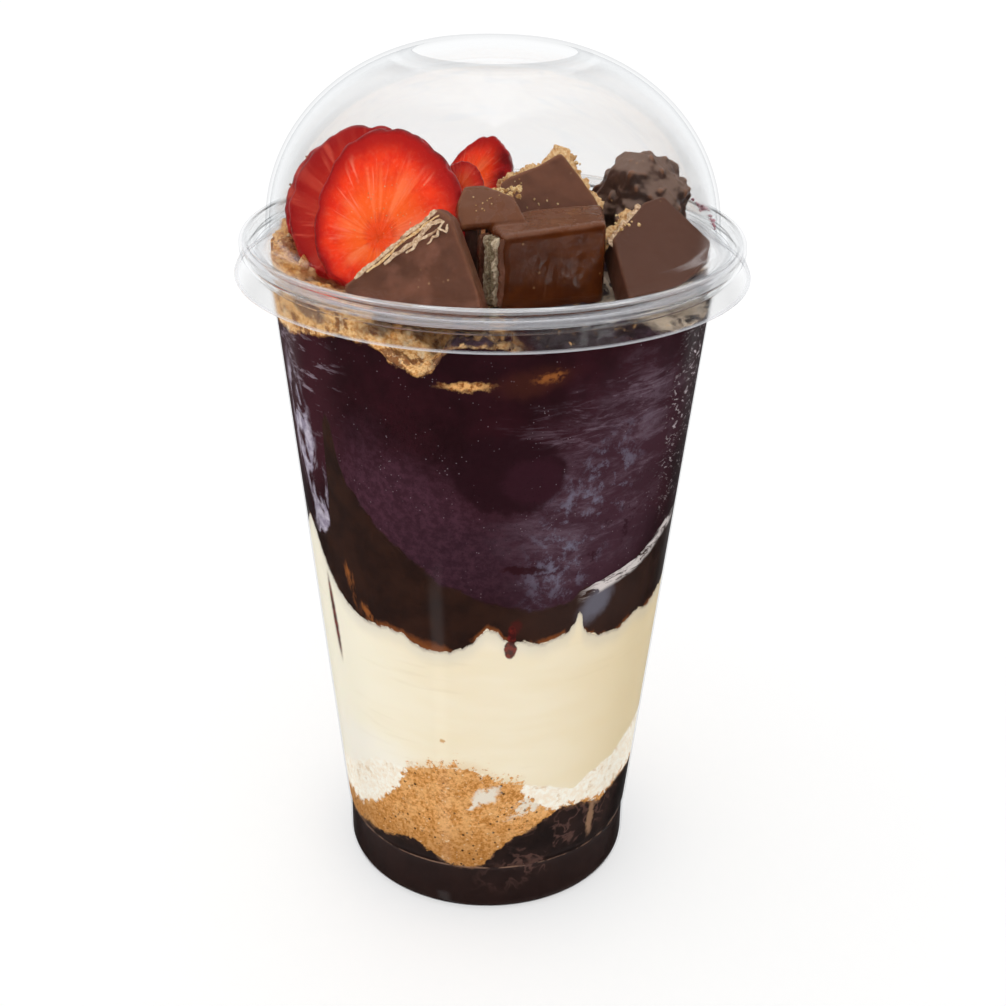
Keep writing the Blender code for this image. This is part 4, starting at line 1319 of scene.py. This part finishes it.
def make_strawberries():
    look = strawberry_look()
    lean = 28.0
    front = face_frame((-19.8, -17.6, 152.6), -10.0, lean)
    middle = face_frame((-24.8, -10.4, 152.6), -11.0, lean)
    back = face_frame((-28.0, -4.6, 151.8), -16.0, lean)
    quarter = face_frame((-4.2, 13.0, 151.4), -5.0, 25.0)
    chip = face_frame((-6.6, -7.0, 154.6), 12.0, 30.0)
    fruit_slice("berry_front", (14.3, 16.0), 4.4, front, look, "strawberry_front", phase=0.4,
                heart=(-1.4, -4.6))
    fruit_slice("berry_middle", (15.0, 15.2), 4.6, middle, look, "strawberry_middle", squash=0.02,
                phase=1.3, deep=0.6, heart=(1.0, -4.0))
    fruit_slice("berry_back", (13.6, 13.4), 3.6, back, look, "strawberry_back", squash=0.03, phase=2.1,
                deep=0.9)
    fruit_slice("berry_quarter", (6.6, 9.6), 7.0, quarter, look, "strawberry_quarter", squash=0.05,
                shear=0.3, phase=0.9, deep=0.1, curl=4.5, heart=(-2.0, -3.0))
    fruit_slice("berry_chip", (4.6, 6.0), 3.4, chip, look, None, squash=0.06, shear=0.2, phase=2.7,
                deep=1.0)
    return front, middle, back


def broken_piece(outline, depth, frame, rest=BED_Z, edge=0.6):
    """An outline drawn out, cut flat where it rests, with eased edges."""
    bpy.ops.mesh.primitive_circle_add(vertices=len(outline), radius=1.0, fill_type="NGON")
    part = bpy.context.object
    for vertex, (x, y) in zip(part.data.vertices, outline):
        vertex.co = Vector((x, y, 0.0)) * MM
    edit_all(part)
    draw_out(-depth)
    bpy.ops.object.mode_set(mode="OBJECT")
    part.data.transform(frame)
    outward(part)
    cut_flat(part, rest)
    outward(part)
    modify(part, "BEVEL", width=edge * MM, segments=3, limit_method="ANGLE", angle_limit=math.radians(25.0))
    edit_all(part)
    bpy.ops.mesh.quads_convert_to_tris(quad_method="BEAUTY", ngon_method="BEAUTY")
    bpy.ops.object.mode_set(mode="OBJECT")
    return part


def finish_piece(part, name, look, slot, nodes, wave=0.12):
    """Give a broken piece one slightly uneven skin."""
    modify(part, "REMESH", mode="VOXEL", voxel_size=0.3 * MM)
    ways = [vertex.normal.copy() for vertex in part.data.vertices]
    for vertex, way in zip(part.data.vertices, ways):
        lump = noise.fractal(vertex.co * 260.0, 0.9, 2.0, 3)
        vertex.co = vertex.co + way * lump * wave * MM
    modify(part, "SMOOTH", factor=0.5, iterations=2)
    smooth(part)
    dress(part, name, look, slot, *nodes)


def chunk(name, outline, depth, frame, look, node, slot="milk_chocolate"):
    finish_piece(broken_piece(outline, depth, frame), name, look, slot, (node,))


def walk(path, share):
    """The point at a share of a path's length, and the way to its left."""
    lengths = [math.dist(first, second) for first, second in zip(path, path[1:])]
    left = share * sum(lengths)
    for (first, second), length in zip(zip(path, path[1:]), lengths):
        if left <= length or second is path[-1]:
            part = min(1.0, left / length)
            way = Vector((second[0] - first[0], second[1] - first[1])) / length
            return Vector(first) + way * length * part, Vector((-way.y, way.x))
        left -= length


def flaky_edge(name, path, inner, outer, start, depth, frame, look, seed, grain=0.3):
    """A ragged layer along a broken edge, from inside its path to beyond it.

    It lies behind the face, from start on and depth thick.
    """
    length = sum(math.dist(first, second) for first, second in zip(path, path[1:]))
    part = drum(36, max(12, int(length / 0.2)), 4)
    for vertex in part.data.vertices:
        share = vertex.co.z
        reach = math.hypot(vertex.co.x, vertex.co.y)
        angle = math.atan2(vertex.co.y, vertex.co.x)
        point, aside = walk(path, share)
        run = share * length
        ragged = noise.fractal(Vector((run * 0.55, seed, 0.3)), 0.8, 2.2, 4)
        slip = noise.noise(Vector((run * 0.35, seed, 7.3)))
        beyond = max(0.15, outer * (0.8 + 0.75 * ragged))
        ends = min(1.0, (min(run, length - run) / 0.9 + 0.05)) ** 0.5
        across = math.copysign(abs(math.cos(angle)) ** 0.5, math.cos(angle)) * reach
        through = math.copysign(abs(math.sin(angle)) ** 0.5, math.sin(angle)) * reach
        out = -inner + (beyond * ends + inner) * (0.5 + 0.5 * across)
        back = start + depth * (0.5 - 0.5 * through * ends) - 0.35 * slip
        spot = point + aside * out
        fine = noise.fractal(Vector((run * 0.9, out * 2.2, back * 3.4 + seed)), 0.7, 2.2, 4)
        spot += aside * fine * grain
        vertex.co = frame @ (Vector((spot.x, spot.y, -back + fine * grain * 0.8)) * MM)
    outward(part)
    smooth(part, 50.0)
    dress(part, name, look, "milk_chocolate")


def make_chocolates(milk, dark):
    flat = 90.0
    block_top = 152.0
    block = ((1.9, -28.9), (21.2, -18.6), (21.3, -5.3), (7.5, -9.5), (-1.9, -19.0))
    sliver = ((-5.6, -20.4), (-2.4, -22.0), (-3.1, -18.0), (-2.2, -11.0), (-5.8, -11.4))
    wedge = ((-25.2, -1.0), (-23.0, 1.2), (-15.4, 7.8), (-8.8, 14.4), (-6.2, 12.8), (0.0, 0.0),
             (1.8, -7.0), (-23.4, -7.0))
    shard = ((-4.6, -3.5), (-4.6, -0.8), (-3.8, 2.2), (-1.6, 5.6), (2.2, 5.5), (7.4, 2.4), (8.4, -3.5))
    back = ((-10.2, -2.0), (-9.4, 4.7), (-7.3, 6.0), (-1.4, 8.3), (3.2, 10.8), (9.0, 1.8), (10.6, -2.0),
            (10.2, -9.0), (-10.0, -9.0))
    right = ((8.8, 10.4), (15.2, -0.9), (12.8, -4.8), (5.0, -10.4), (-6.0, -12.0), (-5.0, 2.2), (4.0, 9.4))
    glossy = chocolate_look("melted_chocolate", "4a1f07", "5c2b0e", "7b4e38", 0.11, 0.6)
    satin = chocolate_look("satin_chocolate", "5c3626", "6b4232", "664030", 0.4)
    left_frame = face_frame((-2.6, -37.0, 143.9), -14.0, 18.0)
    shard_frame = face_frame((-2.4, -20.6, 154.6), 20.0, 50.0)
    back_frame = face_frame((11.1, 0.0, 150.2), 8.0, 35.0)
    right_frame = face_frame((27.9, -16.0, 146.8), 22.0, 48.0)
    front = broken_piece(block, 22.0, face_frame((0.0, 0.0, block_top), 0.0, flat), edge=1.3)
    lying = broken_piece(shard, 3.0, shard_frame, block_top - 1.0)
    finish_piece(join([front, lying]), "chocolate_front", glossy, "milk_chocolate",
                 ("choc_block_front", "choc_shard"), 0.07)
    chunk("chocolate_sliver", sliver, 18.0, face_frame((0.0, 0.0, block_top - 0.4), 0.0, flat), dark,
          "choc_sliver_dark", "dark_chocolate")
    chunk("chocolate_left", wedge, 6.0, left_frame, milk, "choc_wedge_left")
    chunk("chocolate_back", back, 9.0, back_frame, milk, "choc_block_back")
    chunk("chocolate_right", right, 6.5, right_frame, satin, "choc_wedge_right")
    make_wafers(milk, left_frame, back_frame, right_frame)
    return shard_frame, back_frame, right_frame


def make_wafers(milk, left_frame, back_frame, right_frame):
    """The wafer and cream layers that show where the pieces are broken."""
    gold = wafer_look("toasted_wafer", "d9a066", "fbd8a4", "a8703a")
    pale = wafer_look("pale_wafer", "8c765a", "c4b292", "5e4c38")
    cream = wafer_look("wafer_cream", "b59d80", "ecd9bb", "94785a")
    warm = wafer_look("warm_wafer", "c79c78", "f4d8b6", "8c5a3c")
    flaky_edge("back_wafer_left", ((-9.6, 4.4), (-7.3, 5.9), (-1.4, 8.2), (3.4, 10.9)), 1.4, 1.5, 1.0, 3.6,
               back_frame, gold, 1.7)
    flaky_edge("back_wafer_right", ((2.6, 10.9), (3.6, 10.3), (9.0, 1.8), (10.5, -1.6)), 1.4, 1.5, 0.9, 3.4,
               back_frame, gold, 5.2)
    flaky_edge("back_wafer_peak", ((1.4, 10.3), (3.3, 11.2), (4.9, 8.6)), 1.0, 2.4, 1.4, 2.2, back_frame,
               gold, 8.9)
    lines = ((0.15, 0.35, 19.5, 0.9, warm, 2.1), (0.9, 0.2, 17.0, 0.5, gold, 4.4),
             (1.8, 0.42, 13.5, 0.6, warm, 6.2), (2.7, 0.2, 9.0, 0.5, warm, 3.3),
             (3.6, 0.16, 5.0, 0.45, warm, 7.9))
    for index, (inward, width, length, depth, look, seed) in enumerate(lines):
        way = Vector((0.733, 0.68))
        top = Vector((-9.0, 14.0)) + Vector((0.68, -0.733)) * inward
        path = []
        for step in range(7):
            bend = noise.noise(Vector((step * 0.9, seed, 0.0))) * 0.9 * (0.3 + inward / 3.0)
            path.append(tuple(top - way * length * (1.0 - step / 6.0) + Vector((0.68, -0.733)) * bend))
        flaky_edge(f"left_wafer_{index + 1}", path, width, width, -0.3, depth, left_frame, look, seed, 0.16)
    front_frame = face_frame((1.9, -28.9, 137.0), 28.1, 0.0)
    sheets = ((0.5, 0.7, 0.55, milk, 1.1), (1.7, 0.9, 0.9, cream, 2.2), (3.0, 0.6, 0.5, pale, 3.3),
              (4.0, 0.9, 0.9, pale, 4.4), (5.4, 0.7, 0.5, cream, 5.5), (6.6, 1.3, 0.8, milk, 6.6))
    for index, (start, depth, outer, look, seed) in enumerate(sheets):
        path = ((-0.09 * start, 0.2), (-0.09 * start - 0.1, 14.2 - 0.1 * start))
        flaky_edge(f"front_wafer_{index + 1}", path, 2.4, outer, start, depth, front_frame, look, seed, 0.2)
    flaky_edge("right_wafer_1", ((-5.6, 1.4), (3.6, 9.0)), 0.9, 1.0, 0.3, 1.2, right_frame, warm, 7.1)
    flaky_edge("right_wafer_2", ((-7.0, 1.6), (-5.4, 3.0), (2.0, 8.6)), 0.3, 1.3, 1.6, 1.2, right_frame,
               gold, 9.4)


def make_bits(kinds, draw, berry_frame, shard_frame, back_frame, right_frame):
    """Wafer bits and dust that lie on the pieces.  The dust on the front slice is partly crumbs and partly
    stands in for glints.
    """
    spots = []

    def on(frame, spread, count, low, high, lift=0.0):
        x0, y0, x1, y1 = spread
        for _ in range(count):
            local = Vector((draw.uniform(x0, x1), draw.uniform(y0, y1), lift)) * MM
            spots.append((frame @ local, draw.uniform(low, high)))

    on(shard_frame, (3.5, 2.6, 9.5, 4.6), 46, 0.25, 0.65, -0.6)
    on(shard_frame, (-1.0, -1.5, 3.0, 3.0), 10, 0.12, 0.2, 0.1)
    on(back_frame, (-7.0, -1.5, 2.5, 5.5), 12, 0.12, 0.26, 0.1)
    on(back_frame, (-9.0, 4.6, -3.0, 6.4), 16, 0.2, 0.45, -0.8)
    on(back_frame, (4.0, 6.0, 7.0, 9.0), 10, 0.25, 0.5, -1.0)
    on(right_frame, (-4.0, 3.0, 1.5, 7.0), 12, 0.15, 0.4, 0.0)
    # Painted glints, in part: fine pale dust on the front slice's face.
    on(berry_frame, (-7.0, -6.0, 8.0, 6.0), 42, 0.07, 0.14, 0.1)
    scatter("wafer_bits", kinds, spots, draw, wafer_look("loose_wafer", "c08a4c", "f6d9a4", "a06a34"),
            "crumb")


def make_ball(look):
    """A rough round chocolate: a ball with flat breaks, lumps and knobs."""
    bpy.ops.mesh.primitive_ico_sphere_add(subdivisions=6, radius=1.0)
    part = bpy.context.object
    draw = random.Random(11)
    breaks = []
    for _ in range(26):
        way = Vector((draw.gauss(0, 1), draw.gauss(0, 1), draw.gauss(0, 1))).normalized()
        breaks.append((way, draw.uniform(0.84, 1.0)))
    centre = Vector((30.6, 12.0, 147.4)) * MM
    radius = 9.9
    for vertex in part.data.vertices:
        unit = vertex.co.normalized()
        far = min(height / max(0.2, unit.dot(way)) for way, height in breaks)
        lump = noise.noise(unit * 1.9 + Vector((3.1, 0.7, 5.2)))
        knob = max(0.0, noise.noise(unit * 4.2 + Vector((1.0, 2.0, 3.0))) - 0.1)
        grain = noise.fractal(unit * 8.0, 0.9, 2.0, 4)
        size = radius * min(far, 1.15) + 1.5 * lump + 2.2 * knob + 0.22 * grain
        vertex.co = centre + unit * size * MM
    cut_flat(part, BED_Z)
    modify(part, "SMOOTH", factor=0.5, iterations=2)
    smooth(part)
    dress(part, "chocolate_ball", look, "dark_chocolate", "choc_ball")


def make_seeds(kinds, draw, frames):
    """Seeds in the peel, round the edges of the slices."""
    spots = []
    for (width, height, thickness), frame, phase in frames:
        for row, offset in ((-0.33, math.pi), (-0.66, 0.0)):
            for step in range(SEEDS_ROUND):
                angle = (2.0 * math.pi * step + offset - phase) / SEEDS_ROUND
                local = Vector((math.cos(angle) * width, math.sin(angle) * height, row * thickness)) * 0.985
                point = frame @ (local * MM)
                if point.z > (BED_Z + 1.0) * MM:
                    spots.append((point, 0.3))
    scatter("berry_seeds", kinds, spots, draw, seed_look(), "strawberry")


def make_splashes(kinds, draw):
    """Small smears of the purple filling on the dome's wall at the right, and on its foot."""
    spots = []
    for azimuth, height, count in ((111, 147.4, 9), (103, 146.9, 16), (96, 146.6, 10), (91, 146.4, 8)):
        for _ in range(count):
            turn = azimuth + draw.gauss(0.0, 1.6)
            spots.append((around(44.1, turn, height + draw.gauss(0.0, 0.45)), draw.uniform(0.1, 0.42)))
    scatter("splashes", kinds, spots, draw, splash_look(), "acai")


# ---------------------------------------------------------------- stage

def make_stage():
    bpy.ops.mesh.primitive_plane_add(size=6.0, location=(0.0, 0.0, -0.0003))
    floor = bpy.context.object
    floor.name = "floor"
    look, kit, shader = new_look("floor", 0.9, Specular_IOR_Level=0.0)
    shader.inputs["Base Color"].default_value = (0.5, 0.5, 0.5, 1.0)
    shader.inputs["Emission Color"].default_value = (1.0, 1.0, 1.0, 1.0)
    shader.inputs["Emission Strength"].default_value = 0.5
    path = kit.node("ShaderNodeLightPath").outputs
    unseen = kit.times(path["Is Transmission Ray"], odd(kit, path))
    open_air = kit.node("ShaderNodeBsdfTransparent")
    kit.feed(look.node_tree.nodes["Material Output"].inputs["Surface"],
             kit.blend(unseen, shader.outputs[0], open_air.outputs[0]))
    floor.data.materials.append(look)
    floor.visible_glossy = False


def odd(kit, path):
    """1 at an odd count of bounces: a wall that light passes adds two, a mirror one, the room one."""
    return kit.sum("MODULO", path["Ray Depth"], 2.0)


def make_world():
    """A pale room, brighter at the left.  Only plain reflections see its dim front and its panes."""
    world = bpy.data.worlds.new("studio")
    bpy.context.scene.world = world
    world.use_nodes = True
    world.cycles.sampling_method = "NONE"
    kit = Finish(world.node_tree)
    background = world.node_tree.nodes["Background"]
    background.inputs["Color"].default_value = (1.0, 1.0, 1.0, 1.0)
    way = kit.node("ShaderNodeTexCoord").outputs["Generated"]
    parts = kit.apart(way)
    right, back, up = parts
    turn = kit.times(kit.sum("ARCTAN2", right, kit.times(back, -1.0)), 180.0 / math.pi)
    path = kit.node("ShaderNodeLightPath").outputs
    away = kit.sum("ABSOLUTE", turn)
    behind = kit.ramp(away, 146.0, 174.0, 0.0, 0.95)
    beside = kit.times(kit.ramp(away, 118.0, 152.0), kit.ramp(up, -0.46, -0.38), 0.75)
    level = kit.times(kit.ramp(away, 156.0, 166.0), kit.ramp(up, 0.1, 0.2), kit.ramp(up, 0.62, 0.55))
    glow = kit.times(kit.most(behind, beside), kit.rest(level))
    ceiling = kit.ramp(up, 0.1, 0.9, 0.01, 0.04)
    strip = kit.times(kit.band(turn, -44.0, -38.0, -35.0, -29.0), kit.ramp(up, -0.645, -0.675), 0.4)
    strip = kit.times(strip, kit.sum("LESS_THAN", path["Ray Depth"], 4.5))
    panes = kit.most(kit.band(turn, 47.0, 48.0, 52.0, 53.0), kit.band(turn, 58.0, 59.0, 67.0, 68.0))
    panes = kit.times(panes, kit.ramp(up, -0.62, -0.58), kit.ramp(up, -0.25, -0.3), 1.7)
    pane = kit.times(kit.band(turn, -32.0, -30.0, -24.0, -22.0), kit.ramp(up, 0.0, 0.08), 1.6)
    pane = kit.times(pane, kit.ramp(up, 0.5, 0.4))
    panes = kit.times(kit.plus(panes, pane), kit.sum("GREATER_THAN", path["Ray Depth"], 4.5))
    room = kit.plus(glow, ceiling, kit.plus(strip, panes))
    once = kit.rest(odd(kit, path))
    mirrored = kit.times(kit.most(path["Is Glossy Ray"], path["Is Transmission Ray"]), once)
    side = kit.less(kit.times(back, -0.34), kit.times(right, 0.94))
    open_light = kit.times(kit.plus(1.0, kit.times(side, SIDE_LIGHT)), ROOM_LIGHT)
    seen = kit.times(open_light, kit.rest(mirrored))
    kit.feed(background.inputs["Strength"], kit.plus(seen, kit.times(room, mirrored)))


def make_camera():
    """The photograph's place and angle: its distance and height in metres, and its turns."""
    distance, height = 0.3123, 0.2353
    pitch, yaw, roll = 0.4504, 0.0089, 0.0153
    focal_pixels, photo_pixels = 1607.07, 1006.0
    forward = Vector((math.sin(yaw) * math.cos(pitch), math.cos(yaw) * math.cos(pitch), -math.sin(pitch)))
    level = forward.cross(Vector((0.0, 0.0, 1.0))).normalized()
    upward = level.cross(forward)
    right = math.cos(roll) * level + math.sin(roll) * upward
    top = math.cos(roll) * upward - math.sin(roll) * level
    data = bpy.data.cameras.new("camera")
    data.sensor_width = 36.0
    data.lens = data.sensor_width * focal_pixels / photo_pixels
    data.clip_start = 0.01
    camera = bpy.data.objects.new("camera", data)
    bpy.context.scene.collection.objects.link(camera)
    turn = Matrix((right, top, -forward)).transposed().to_4x4()
    camera.matrix_world = Matrix.Translation((0.0, -distance, height)) @ turn
    bpy.context.scene.camera = camera


# ---------------------------------------------------------------- the whole

deselect()
make_camera()
make_stage()
make_world()
bpy.context.scene.view_settings.view_transform = "Standard"

plastic = clear_plastic_look()
make_cup(plastic)
make_lid(plastic)
make_layers()

chance = random.Random(5)
crumb_kinds = [one_crumb(1.0, chance) for _ in range(6)]
make_crumb_bed()
make_crumbs(crumb_kinds, chance, crumb_look())
front_berry, middle_berry, back_berry = make_strawberries()
milk_chocolate = chocolate_look("milk_chocolate", "613722", "84513c", "7f4c33")
dark_chocolate = chocolate_look("dark_chocolate", "3c2820", "573d33", "826759", 0.3)
shard_place, back_place, right_place = make_chocolates(milk_chocolate, dark_chocolate)
make_ball(dark_chocolate)
make_bits(crumb_kinds, chance, front_berry, shard_place, back_place, right_place)
make_seeds(crumb_kinds, chance,
           (((14.6, 14.4, 4.6), middle_berry, 1.3), ((13.6, 13.4, 3.6), back_berry, 2.1)))
make_splashes(crumb_kinds, chance)
for kind in crumb_kinds:
    bpy.data.objects.remove(kind, do_unlink=True)

deselect()
